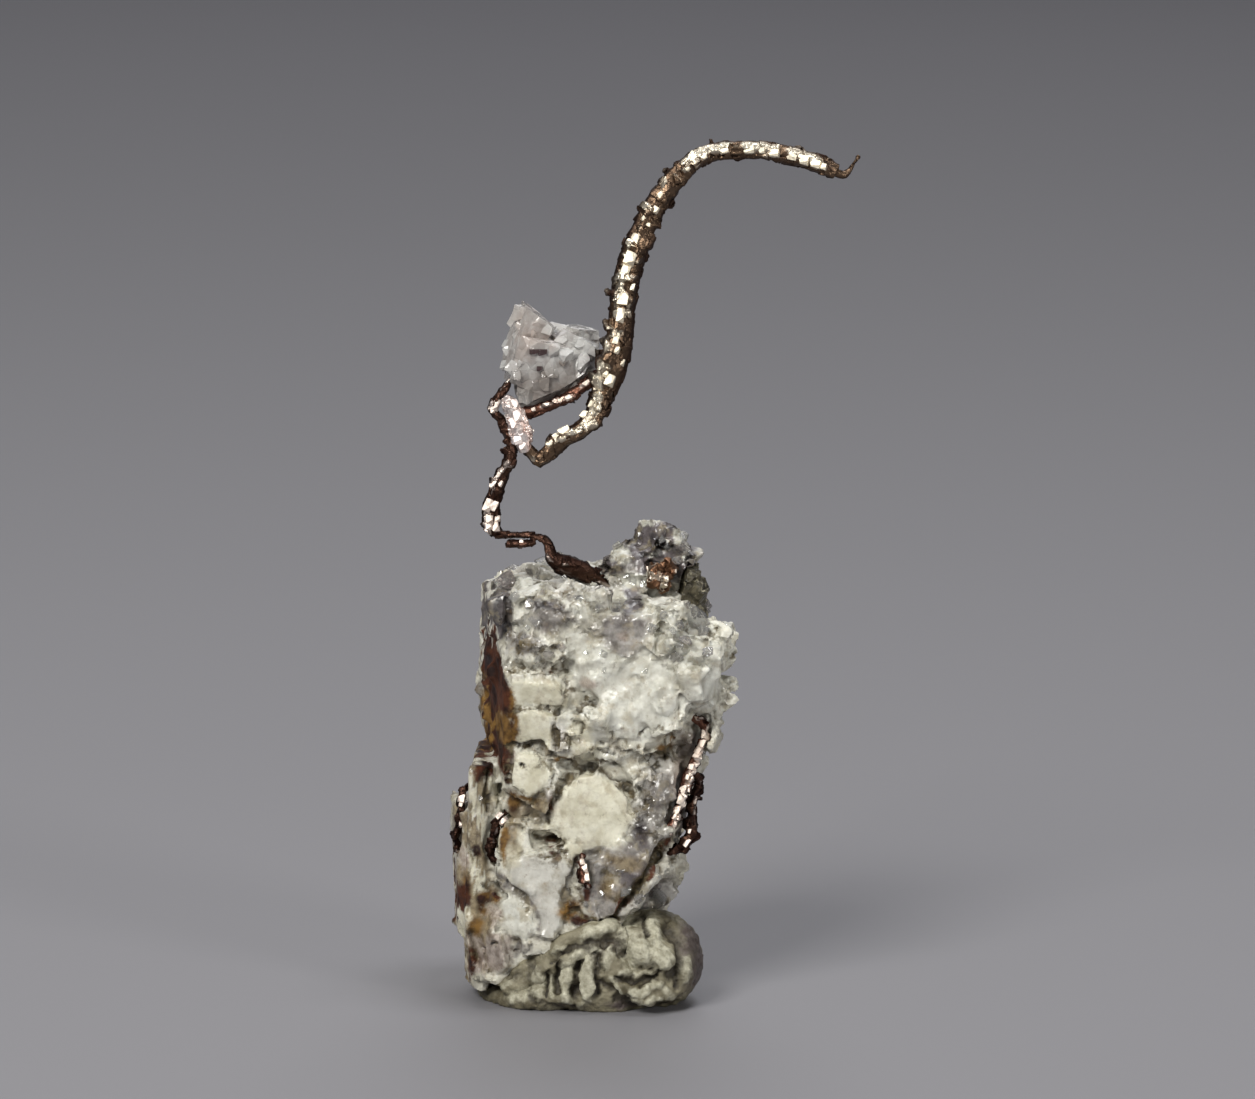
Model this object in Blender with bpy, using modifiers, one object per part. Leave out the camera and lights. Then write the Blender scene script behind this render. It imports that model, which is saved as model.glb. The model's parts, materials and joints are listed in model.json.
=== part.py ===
"""Native silver in quartz: wire silver on a broken quartz column that stands in a pad of putty.

Metres, +Z up, +X to the right and -Y to the front. The origin is the middle of the putty's flat foot.
Sizes are written in millimetres and multiplied by MM.
"""

import math
import random

import bmesh
import bpy
from mathutils import Euler, Matrix, Vector

MM = 0.001

# Driving dimensions
GAP = 0.1 * MM  # clearance between two pieces that touch
COLUMN_TOP = 24.0  # broken top of the quartz column, without its knob
PUTTY_VOXEL = 0.26 * MM
PUTTY_TRIANGLES = 1050
PUTTY_SOFTENING = (0.5, 3)  # factor and rounds of the smoothing that blends the putty's lumps
BREAK_DEPTH = (0.72, 0.9)  # where the planes that break a block's corners lie, as a share of its reach
WIRE_STEP = 0.85 * MM  # spacing of the points along a silver wire
WIRE_SIDES = 2  # bevel resolution: 8 flats around a wire
SEAT_SWELL = 2.2 * GAP  # how much wider a wire's seat in the quartz is than the wire

# Quartz blocks, each a box broken at its corners: centre, half size (mm), turn (degrees), corner cuts
BODY_BLOCKS = {
    "upper_body": ((-0.85, 0.3, 18.2), (5.8, 5.1, 5.2), (1, -1, 8), 9),
    "middle_body": ((-1.05, 0.3, 11.0), (5.35, 4.9, 4.6), (-2, 7, 6), 9),
    "lower_body": ((-2.9, 0.3, 5.9), (3.9, 4.5, 4.5), (0, -5, 4), 9),
    "back_wedge": ((2.05, 1.3, 8.5), (1.95, 3.3, 3.7), (5, 9, -6), 8),
    "back_bulge": ((-0.6, 3.7, 12.2), (4.3, 2.3, 6.4), (4, 5, -8), 9),
    "inner_slab": ((-6.9, -0.7, 7.5), (0.75, 4.2, 6.6), (3, 1, -3), 6),
    "outer_slab": ((-7.95, -0.4, 7.3), (0.65, 3.2, 3.9), (-4, -3, 4), 6),
    "pink_foot": ((-5.35, -2.9, 3.9), (1.8, 2.4, 2.5), (6, 8, 14), 7),
    "white_slab": ((-2.9, -4.6, 6.4), (2.3, 1.15, 2.9), (-4, -14, 3), 7),
    "white_point": ((-4.1, -4.75, 13.25), (1.45, 1.0, 1.25), (4, 24, -4), 5),
    "step_top": ((-3.7, -4.9, 20.75), (1.35, 0.75, 0.6), (3, 4, 7), 4),
    "step_middle": ((-4.15, -4.85, 18.75), (1.6, 0.95, 0.85), (-2, 3, 8), 4),
    "step_low": ((-4.2, -4.8, 16.75), (1.3, 0.95, 0.8), (3, 2, 6), 4),
    "step_small": ((-1.9, -4.9, 16.1), (0.95, 0.8, 1.25), (2, -12, 5), 5),
    "sugar_mass": ((1.9, -3.6, 19.6), (3.0, 1.8, 2.9), (-5, 9, -3), 9),
    "sugar_foot": ((0.9, -3.9, 16.6), (2.2, 1.5, 1.9), (6, -16, 8), 7),
    "right_ledge": ((4.6, -0.9, 20.2), (2.3, 3.0, 1.0), (4, -5, -9), 7),
    "right_flange": ((5.0, -0.9, 18.0), (1.05, 2.6, 2.6), (3, -3, 6), 6),
    "rear_ledge": ((1.0, 4.2, 19.4), (3.2, 1.3, 2.6), (-5, 6, 4), 7),
    "upper_lobe": ((2.2, -2.9, 10.9), (1.5, 2.0, 2.2), (-8, 28, 10), 7),
    "lower_lobe": ((1.15, -3.3, 7.6), (1.75, 2.3, 2.3), (4, 38, -8), 9),
    "crack_crystal": ((2.85, -1.3, 6.6), (1.1, 1.25, 1.35), (8, 30, 20), 5),
    "knob_main": ((2.5, 0.3, 24.7), (1.45, 1.6, 1.8), (4, -14, 22), 7),
    "knob_top": ((2.65, 0.2, 26.2), (1.05, 1.1, 1.2), (-12, 24, 35), 9),
    "knob_left": ((0.85, -0.1, 24.35), (1.35, 1.5, 1.05), (-6, -38, 8), 6),
    "knob_front": ((1.45, -1.35, 24.75), (0.95, 0.8, 1.0), (14, -22, -18), 5),
    "knob_right": ((3.95, 0.3, 24.2), (0.95, 1.6, 1.7), (4, 14, -12), 6),
    "knob_spur": ((3.75, -0.4, 25.75), (0.65, 0.7, 0.75), (16, 30, 12), 4),
    "knob_back": ((2.1, 1.9, 24.4), (1.5, 1.0, 1.4), (-10, 12, 16), 6),
}
# Rounded masses: centre, half size, turn
ROUND_MASSES = {
    "pale_dome": ((-0.75, -4.35, 11.4), (2.65, 1.5, 2.25), (0, 12, 0)),
    "lobe_toe": ((0.75, -4.15, 6.9), (1.75, 1.55, 1.75), (0, 0, 0)),
    "back_dome": ((-2.4, 3.9, 6.2), (2.6, 1.5, 3.0), (0, 10, 0)),
}
# Hollows broken out of the column's faces: the way each is seen from, place across and up, half size, turn
PITS = {
    "pit_by_dome": ((0, -1), -3.3, 9.8, (0.9, 0.75, 0.5), (10, -8, 0)),
    "pit_in_steps": ((0, -1), -2.4, 19.8, (0.6, 0.5, 0.45), (0, 0, 0)),
    "pit_cluster": ((0, -1), -1.3, 17.7, (0.75, 0.6, 0.6), (0, 24, 0)),
    "pit_middle": ((0, -1), -1.6, 14.2, (1.15, 0.65, 0.45), (0, 14, 0)),
    "pit_under_sugar": ((0, -1), 3.1, 14.3, (1.1, 0.8, 0.65), (0, -20, 0)),
    "pit_knob": ((0, -1), 3.0, 25.9, (0.55, 0.6, 0.5), (0, 20, 0)),
    "pit_back": ((0, 1), 2.4, 15.4, (1.1, 0.8, 0.8), (0, 15, 0)),
    "pit_left": ((-1, 0), 0.6, 16.6, (0.5, 1.0, 1.2), (12, 0, 0)),
}
RIM_ROWS = (-4.1, -1.2, 1.7, 4.1)  # front to back, across the broken top
RIM_SPAN = (-6.4, 4.2)
RIM_PER_ROW = 6
RIM_HALF = (0.75, 1.25)  # least and greatest half width of a rim block
RIM_SINK = 0.45  # how deep a rim block lies in the column, as a share of its half height
RIM_CREST = -2.5  # where the broken top stands highest, left to right
RIM_FALL = 0.25  # how fast the broken top falls away from there
RIM_TILT = 28  # greatest turn of a rim block, degrees
# Small crystals on the column's faces: how many, the way they are seen from, the patch they stand in (mm),
# and how deep each lies in the face, as a share of its least half width
CRYSTAL_PATCHES = {
    "sugar": (15, (0, -1), (-1.0, 5.0), (14.6, 22.2), 0.95),
    "under_steps": (5, (0, -1), (-5.0, 3.4), (13.9, 15.2), 0.95),
    "lower_front": (6, (0, -1), (-5.0, 1.6), (2.6, 9.2), 0.95),
    "left_flank": (11, (-1, 0), (-3.8, 4.2), (2.0, 22.5), 1.3),
    "right_flank": (9, (1, 0), (-3.4, 4.2), (8.0, 22.5), 1.4),
    "back": (16, (0, 1), (-5.4, 5.0), (3.0, 22.5), 0.95),
}
CRYSTAL_HALF = (0.55, 1.1)
CRYSTAL_TILT = 32

# Silver wires: (x, y, z, radius) along each, in millimetres
ROOT_ROUTE = (
    (0.6, -1.1, 23.56, 0.30), (-0.7, -1.6, 24.46, 0.42), (-1.7, -2.0, 24.91, 0.66),
    (-2.65, -2.2, 25.21, 0.60), (-3.3, -2.3, 25.66, 0.44), (-3.65, -2.2, 26.41, 0.35),
    (-4.5, -2.1, 26.66, 0.36), (-5.5, -1.9, 26.56, 0.40), (-6.35, -1.8, 26.71, 0.44),
    (-6.75, -1.8, 27.26, 0.50), (-6.9, -1.9, 28.06, 0.52), (-6.75, -2.0, 28.96, 0.46),
    (-6.45, -2.0, 29.86, 0.48), (-6.1, -1.9, 30.66, 0.46), (-5.85, -1.9, 31.56, 0.50),
)
ROOT_STUB = ((-3.9, -2.2, 26.16, 0.28), (-4.7, -2.3, 26.01, 0.32), (-5.75, -2.3, 25.91, 0.30))
BAND_ROUTE = (
    (-5.45, -2.2, 31.2, 0.52), (-5.4, -2.35, 32.0, 0.74), (-5.6, -2.4, 33.06, 0.88),
    (-6.0, -2.3, 34.0, 0.86), (-6.55, -2.0, 34.5, 0.60),
)
BAND_FLATNESS = 0.45  # depth of the band against its width
BAND_SEAT_FLATNESS = 0.6
LOOP_ROUTE = (
    (-4.4, -2.1, 31.06, 0.42), (-3.6, -2.3, 31.76, 0.50), (-2.75, -2.5, 32.56, 0.56),
    (-1.9, -2.6, 33.06, 0.56), (-1.25, -2.5, 33.71, 0.62), (-0.85, -2.2, 34.66, 0.68),
    (-0.6, -2.0, 35.56, 0.60),
)
LOOP_RETURN = ((-4.2, -2.15, 31.21, 0.38), (-4.75, -2.1, 31.76, 0.36), (-5.3, -2.2, 32.56, 0.34))
CHIP_ROUTE = (
    (-5.5, -1.9, 33.91, 0.36), (-4.6, -1.6, 33.96, 0.38), (-3.7, -1.55, 34.31, 0.42),
    (-2.8, -1.6, 34.71, 0.44),
    (-2.0, -1.65, 35.26, 0.42), (-1.25, -1.8, 35.86, 0.44), (-0.5, -1.9, 36.46, 0.40),
)
CURL_ROUTE = (
    (-0.7, -2.05, 34.86, 0.66), (-0.45, -1.95, 35.91, 0.84), (-0.1, -1.85, 37.06, 0.90),
    (0.15, -1.75, 38.16, 0.86),
    (0.3, -1.6, 39.76, 0.80), (0.52, -1.35, 41.5, 0.80), (1.0, -1.05, 43.2, 0.76),
    (1.82, -0.65, 45.15, 0.72), (2.75, -0.25, 46.7, 0.70), (3.85, 0.15, 47.95, 0.66),
    (4.95, 0.5, 48.7, 0.62), (6.6, 0.8, 48.96, 0.58), (8.3, 1.0, 48.91, 0.60),
    (10.05, 1.1, 48.56, 0.58), (11.5, 1.15, 48.11, 0.56), (12.35, 1.15, 47.76, 0.50),
)
TIP_CLAW = (
    (12.0, 1.1, 48.36, 0.26), (12.45, 1.15, 47.71, 0.30), (13.0, 1.2, 47.76, 0.20),
    (13.65, 1.2, 48.76, 0.13),
)
RIGHT_ROUTE = (
    (4.9, -3.4, 16.75, 0.34), (5.45, -3.5, 16.35, 0.40), (5.6, -3.4, 15.6, 0.42),
    (5.3, -3.3, 14.8, 0.38), (4.95, -3.4, 14.0, 0.40), (4.65, -3.6, 13.1, 0.44),
    (4.4, -3.9, 12.2, 0.42), (4.1, -4.2, 11.3, 0.40), (3.6, -4.6, 10.4, 0.34),
)
RIGHT_LOBE = (
    (4.85, -3.3, 13.7, 0.42), (5.4, -2.9, 12.9, 0.46), (5.1, -3.1, 12.1, 0.44),
    (5.0, -3.4, 11.2, 0.52), (5.0, -3.5, 10.1, 0.58), (4.4, -3.6, 9.2, 0.48),
    (3.6, -3.6, 8.9, 0.36),
)
LEFT_OUTER_ROUTE = (
    (-7.3, -2.6, 12.6, 0.24), (-8.0, -2.8, 12.25, 0.32), (-8.2, -2.9, 11.35, 0.36),
    (-8.35, -2.9, 10.45, 0.34), (-8.5, -2.8, 9.45, 0.36), (-8.4, -2.7, 8.55, 0.24),
)
LEFT_INNER_ROUTE = (
    (-5.5, -4.75, 11.4, 0.26), (-6.0, -4.65, 10.8, 0.34), (-6.35, -4.6, 10, 0.38),
    (-6.4, -4.55, 9.2, 0.40), (-6.0, -4.7, 8.3, 0.30),
)
TUFT_ROUTE = ((-1.25, -5.75, 8.95, 0.24), (-1.1, -5.85, 8.2, 0.34), (-0.95, -5.8, 7.3, 0.26))

# Quartz chip caught in the silver: centre, half size, turn, corner cuts
CHIP_BLOCKS = {
    "chip_body": ((-4.2, -0.35, 36.5), (1.8, 1.5, 1.6), (8, 12, 10), 7),
    "chip_spire": ((-5.05, -0.3, 38.0), (0.85, 0.9, 1.95), (6, 13, 24), 9),
    "chip_right": ((-2.45, -0.2, 36.9), (1.15, 1.2, 1.35), (-6, 24, -10), 7),
    "chip_base": ((-4.05, -0.4, 35.25), (1.6, 1.2, 0.95), (4, -8, 6), 6),
    "chip_flake": ((-2.7, 0.1, 38.05), (0.95, 0.7, 0.4), (12, -14, 20), 5),
}
# Dark ore on the knob's right flank, and the silver knot in its front
ORE_BLOCKS = {
    "ore_top": ((4.75, -0.6, 24.2), (0.65, 1.1, 0.85), (6, 14, 10), 5),
    "ore_middle": ((5.05, -1.0, 23.15), (0.75, 1.2, 0.95), (-5, 10, -14), 6),
    "ore_foot": ((5.3, -1.4, 22.1), (0.65, 1.0, 0.75), (5, -18, 16), 5),
}
KNOT_BLOCKS = {
    "knot_left": ((2.55, -1.9, 24.65), (0.5, 0.55, 0.6), (12, 20, 30), 4),
    "knot_right": ((3.35, -1.75, 24.95), (0.55, 0.55, 0.45), (-12, 32, -18), 4),
    "knot_low": ((3.05, -1.95, 24.15), (0.42, 0.5, 0.5), (20, -16, 12), 4),
}

# Putty lumps: centre, half size, turn. The pad is cut flat at the foot.
PUTTY_LUMPS = {
    "tongue": ((-2.6, -1.4, 0.7), (4.7, 5.2, 1.35), (0, -8, 0)),
    "hump": ((0.1, -2.9, 1.4), (3.4, 3.6, 3.0), (0, -16, 0)),
    "right_lump": ((2.9, -2.6, 2.4), (3.0, 3.6, 2.95), (0, 0, 6)),
    "rear_pad": ((0.0, 1.6, 0.9), (4.6, 3.7, 2.0), (0, 0, 0)),
}
# Folds pressed into the putty: (x, y, z, radius) along each crest
PUTTY_FOLDS = (
    ((-3.7, -4.6, 0.6, 0.5), (-3.0, -5.3, 1.6, 0.55), (-2.1, -5.2, 2.7, 0.5), (-0.9, -4.9, 3.7, 0.4)),
    ((-2.2, -5.4, 0.4, 0.5), (-1.7, -5.9, 1.6, 0.55), (-1.2, -5.8, 2.8, 0.5), (-0.2, -5.3, 4.0, 0.4)),
    ((-0.9, -5.7, 0.4, 0.5), (-0.7, -6.3, 1.5, 0.5), (-0.3, -6.3, 2.7, 0.5), (0.2, -5.8, 3.9, 0.4)),
    (
        (1.2, -5.5, 4.6, 0.45), (0.7, -6.1, 3.2, 0.5), (1.5, -6.3, 1.6, 0.5),
        (3.2, -6.0, 1.0, 0.5), (4.9, -4.8, 1.6, 0.5),
    ),
    ((2.0, -5.4, 4.9, 0.45), (2.3, -6.1, 3.6, 0.5), (3.4, -6.0, 3.0, 0.5), (4.5, -4.9, 3.6, 0.45)),
)


def clear_scene():
    for obj in list(bpy.data.objects):
        bpy.data.objects.remove(obj, do_unlink=True)


def new_collection(name, hidden=False):
    collection = bpy.data.collections.new(name)
    bpy.context.scene.collection.children.link(collection)
    collection.hide_render = hidden
    return collection


def make_material(name, colour, roughness, metallic=0.0):
    material = bpy.data.materials.new(name)
    material.use_nodes = True
    shader = material.node_tree.nodes["Principled BSDF"]
    shader.inputs["Base Color"].default_value = (*colour, 1.0)
    shader.inputs["Roughness"].default_value = roughness
    shader.inputs["Metallic"].default_value = metallic
    material.diffuse_color = (*colour, 1.0)
    return material


def place(centre, turn=(0, 0, 0)):
    """The matrix that moves a shape made at the origin to centre (mm) after turning it (degrees)."""
    turned = Euler([math.radians(angle) for angle in turn]).to_matrix().to_4x4()
    return Matrix.Translation(Vector(centre) * MM) @ turned


def object_from(bm, name, collection):
    mesh = bpy.data.meshes.new(name)
    bm.to_mesh(mesh)
    bm.free()
    obj = bpy.data.objects.new(name, mesh)
    collection.objects.link(obj)
    return obj


def broken_block(name, centre, half, turn, cuts, collection, seed):
    """A box whose corners and edges are broken off by seeded planes, as quartz breaks."""
    chance = random.Random(seed)
    bm = bmesh.new()
    bmesh.ops.create_cube(bm, size=2.0)
    bmesh.ops.scale(bm, vec=Vector(half) * MM, verts=bm.verts)
    for _ in range(cuts):
        corner = Vector([chance.choice((-1, 1)) * chance.uniform(0.15, 1.0) for _ in range(3)])
        normal = Vector([corner[i] / half[i] for i in range(3)]).normalized()
        reach = sum(abs(normal[i]) * half[i] for i in range(3))
        cut_plane(bm, normal * reach * chance.uniform(*BREAK_DEPTH) * MM, normal)
    bmesh.ops.transform(bm, matrix=place(centre, turn), verts=bm.verts)
    return object_from(bm, name, collection)


def cut_plane(bm, point, normal):
    """Takes away what lies beyond the plane and closes the cut."""
    whole = [*bm.verts, *bm.edges, *bm.faces]
    cut = bmesh.ops.bisect_plane(
        bm, geom=whole, dist=1e-7, plane_co=point, plane_no=normal, clear_outer=True
    )
    edges = [item for item in cut["geom_cut"] if isinstance(item, bmesh.types.BMEdge)]
    if edges:
        bmesh.ops.edgeloop_fill(bm, edges=edges)
    bmesh.ops.recalc_face_normals(bm, faces=bm.faces)


def round_mass(name, centre, half, turn, collection, subdivisions=3):
    bm = bmesh.new()
    bmesh.ops.create_icosphere(bm, subdivisions=subdivisions, radius=MM)
    bmesh.ops.scale(bm, vec=half, verts=bm.verts)
    bmesh.ops.transform(bm, matrix=place(centre, turn), verts=bm.verts)
    return object_from(bm, name, collection)


def smooth_route(route):
    """Points about WIRE_STEP apart on a Catmull-Rom curve through the route's own points, with radii."""
    points = [Vector(point) * MM for point in route]
    ends = [2 * points[0] - points[1], *points, 2 * points[-1] - points[-2]]
    smooth = []
    for before, start, end, after in zip(ends, ends[1:], ends[2:], ends[3:]):
        steps = max(1, round((end - start).length / WIRE_STEP))
        for step in range(steps):
            t = step / steps
            smooth.append(
                0.5 * (2 * start + (end - before) * t + (2 * before - 5 * start + 4 * end - after) * t * t
                       + (3 * start - before - 3 * end + after) * t ** 3)
            )
    return [*smooth, points[-1]]


def silver_tube(name, route, collection, swell=0.0, knots=0.0, seed=1):
    """A wire as a mesh tube. swell adds to its radius, and knots roughens it from point to point."""
    chance = random.Random(seed)
    curve = bpy.data.curves.new(name, "CURVE")
    curve.dimensions = "3D"
    curve.bevel_depth = MM
    curve.bevel_resolution = WIRE_SIDES
    curve.use_fill_caps = True
    spline = curve.splines.new("POLY")
    points = smooth_route(route)
    spline.points.add(len(points) - 1)
    for spot, point in zip(spline.points, points):
        spot.co = (point.x, point.y, point.z, 1.0)
        spot.radius = (point.w * (1 + knots * chance.uniform(-1, 1)) + swell) / MM
    bent = bpy.data.objects.new(name + "_curve", curve)
    collection.objects.link(bent)
    graph = bpy.context.evaluated_depsgraph_get()
    mesh = bpy.data.meshes.new_from_object(bent.evaluated_get(graph))
    bm = bmesh.new()
    bm.from_mesh(mesh)
    bmesh.ops.remove_doubles(bm, verts=bm.verts, dist=1e-6)
    bmesh.ops.recalc_face_normals(bm, faces=bm.faces)
    bpy.data.objects.remove(bent)
    return object_from(bm, name, collection)


def flatten_depth(obj, share):
    """Squeezes a mesh along Y, about its own middle."""
    depths = [vertex.co.y for vertex in obj.data.vertices]
    middle = (min(depths) + max(depths)) / 2
    for vertex in obj.data.vertices:
        vertex.co.y = middle + (vertex.co.y - middle) * share


def join_all(obj, collection):
    """Unites everything in the collection with obj, and keeps the result as obj's own mesh."""
    modifier = obj.modifiers.new("join", "BOOLEAN")
    modifier.operation = "UNION"
    modifier.solver = "EXACT"
    modifier.operand_type = "COLLECTION"
    modifier.collection = collection
    keep_modifiers(obj)
    remove_all(collection)


def cut_away(obj, cutters, solver="EXACT"):
    """Cuts every object of the collection out of obj, one after another, and removes them."""
    for cutter in list(cutters.objects):
        modifier = obj.modifiers.new("cut", "BOOLEAN")
        modifier.operation = "DIFFERENCE"
        modifier.solver = solver
        modifier.object = cutter
        keep_modifiers(obj)
    remove_all(cutters)


def keep_modifiers(obj):
    graph = bpy.context.evaluated_depsgraph_get()
    mesh = bpy.data.meshes.new_from_object(obj.evaluated_get(graph))
    obj.modifiers.clear()
    obj.data = mesh


def remove_all(collection):
    for obj in list(collection.objects):
        bpy.data.objects.remove(obj)
    bpy.data.collections.remove(collection)


def joined(name, first, others, home):
    """The first object united with the rest of its collection, moved home under its own name."""
    others.objects.unlink(first)
    home.objects.link(first)
    join_all(first, others)
    first.name = name
    return first


def blocks_joined(name, blocks, home, seed):
    """One solid from a dictionary of broken blocks."""
    loose = new_collection(name + "_blocks", hidden=True)
    made = [
        broken_block(key, *values, loose, seed + number)
        for number, (key, values) in enumerate(blocks.items())
    ]
    return joined(name, made[0], loose, home)


def wires_joined(name, routes, home, knots, seed, flat_routes=()):
    """One silver piece from one or more routes that grow out of each other."""
    loose = new_collection(name + "_wires", hidden=True)
    made = [
        silver_tube(f"{name}_{number}", route, loose, knots=knots, seed=seed + number)
        for number, route in enumerate(routes)
    ]
    for number, route in enumerate(flat_routes):
        flatten_depth(silver_tube(f"{name}_flat_{number}", route, loose), BAND_FLATNESS)
    return joined(name, made[0], loose, home)


def rim_blocks(collection):
    """Glassy blocks standing in rows across the column's broken top."""
    chance = random.Random(7)
    left, right = RIM_SPAN
    for row, depth in enumerate(RIM_ROWS):
        for place_in_row in range(RIM_PER_ROW):
            x = left + (right - left) * (place_in_row + chance.uniform(0.1, 0.9)) / RIM_PER_ROW
            half = [chance.uniform(*RIM_HALF) for _ in range(3)]
            sink = RIM_SINK * half[2] + RIM_FALL * abs(x - RIM_CREST) ** 0.8
            centre = (x, depth + chance.uniform(-0.5, 0.5), COLUMN_TOP - sink)
            turn = [chance.uniform(-RIM_TILT, RIM_TILT) for _ in range(3)]
            seed = 100 + 10 * row + place_in_row
            broken_block(f"rim_{row}_{place_in_row}", centre, half, turn, 5, collection, seed)


def face_spot(column, look, across, height):
    """The place (mm) and the normal where a ray from outside, against look, meets the column's face."""
    outward = Vector((*look, 0))
    sideways = Vector((abs(look[1]), abs(look[0]), 0))
    start = sideways * across + Vector((0, 0, height)) + outward * 20
    _, spot, normal, _ = column.ray_cast(start * MM, -outward)
    return spot / MM, normal


def face_crystals(column, collection):
    """Small angular crystals in each patch of the column's faces."""
    chance = random.Random(23)
    for name, (count, look, across, upright, sink) in CRYSTAL_PATCHES.items():
        for number in range(count):
            height = upright[0] + (upright[1] - upright[0]) * (number + chance.random()) / count
            spot, normal = face_spot(column, look, chance.uniform(*across), height)
            half = [chance.uniform(*CRYSTAL_HALF) for _ in range(3)]
            turn = [chance.uniform(-CRYSTAL_TILT, CRYSTAL_TILT) for _ in range(3)]
            centre = spot - normal * sink * min(half)
            broken_block(f"{name}_{number}", centre, half, turn, 3, collection, 300 + number)


def quartz_column(home):
    loose = new_collection("quartz_blocks", hidden=True)
    made = [
        broken_block(key, *values, loose, 11 + number)
        for number, (key, values) in enumerate(BODY_BLOCKS.items())
    ]
    for key, values in ROUND_MASSES.items():
        round_mass(key, *values, loose)
    rim_blocks(loose)
    column = joined("quartz_matrix", made[0], loose, home)

    loose = new_collection("quartz_crystals", hidden=True)
    face_crystals(column, loose)
    join_all(column, loose)

    pits = new_collection("quartz_pits", hidden=True)
    for number, (key, (look, across, height, half, turn)) in enumerate(PITS.items()):
        centre, _ = face_spot(column, look, across, height)
        broken_block(key, centre, half, turn, 6, pits, 70 + number)
    cut_away(column, pits)
    return column


def cut_seats(obj, routes, flat_routes=()):
    """Cuts a seat for each wire that runs into obj, wider than the wire by the gap all round."""
    seats = new_collection(obj.name + "_seats", hidden=True)
    for number, route in enumerate(routes):
        silver_tube(f"seat_{number}", route, seats, swell=SEAT_SWELL)
    for number, route in enumerate(flat_routes):
        seat = silver_tube(f"flat_seat_{number}", route, seats, swell=SEAT_SWELL)
        flatten_depth(seat, BAND_SEAT_FLATNESS)
    cut_away(obj, seats)


def grown(obj, collection, distance):
    """A copy of obj with its skin moved out by distance, for cutting the pocket that obj stands in."""
    copy = obj.copy()
    copy.data = obj.data.copy()
    collection.objects.link(copy)
    copy.modifiers.new("triangles", "TRIANGULATE")
    swell = copy.modifiers.new("swell", "DISPLACE")
    swell.mid_level = 0.0
    swell.strength = distance
    keep_modifiers(copy)
    return copy


def putty_pad(column, home):
    loose = new_collection("putty_lumps", hidden=True)
    made = [round_mass(key, *values, loose) for key, values in PUTTY_LUMPS.items()]
    for number, crest in enumerate(PUTTY_FOLDS):
        silver_tube(f"fold_{number}", crest, loose)
    pad = joined("mounting_putty", made[0], loose, home)

    blend = pad.modifiers.new("blend", "REMESH")
    blend.mode = "VOXEL"
    blend.voxel_size = PUTTY_VOXEL
    soften = pad.modifiers.new("soften", "SMOOTH")
    soften.factor, soften.iterations = PUTTY_SOFTENING
    keep_modifiers(pad)
    thin = pad.modifiers.new("thin", "DECIMATE")
    thin.ratio = min(1.0, PUTTY_TRIANGLES / (2 * len(pad.data.polygons)))
    keep_modifiers(pad)

    pocket = new_collection("putty_pocket", hidden=True)
    grown(column, pocket, GAP)
    cut_away(pad, pocket, solver="MANIFOLD")

    bm = bmesh.new()
    bm.from_mesh(pad.data)
    cut_plane(bm, Vector((0, 0, 0)), Vector((0, 0, -1)))
    bm.to_mesh(pad.data)
    bm.free()
    return pad


def keep_outer_shell(obj):
    """Fills what is sealed inside a solid and drops chips that a cut has freed: its largest shell stays."""
    bm = bmesh.new()
    bm.from_mesh(obj.data)
    left = set(bm.verts)
    shells = []
    while left:
        shell = set()
        front = [left.pop()]
        while front:
            vertex = front.pop()
            shell.add(vertex)
            near = {edge.other_vert(vertex) for edge in vertex.link_edges} & left
            left -= near
            front.extend(near)
        shells.append(shell)
    largest = max(shells, key=len)
    bmesh.ops.delete(bm, geom=[vertex for vertex in bm.verts if vertex not in largest], context="VERTS")
    bm.to_mesh(obj.data)
    bm.free()


def finish(obj, material):
    keep_outer_shell(obj)
    obj.data.materials.clear()
    obj.data.materials.append(material)
    for polygon in obj.data.polygons:
        polygon.material_index = 0
    return obj


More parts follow.
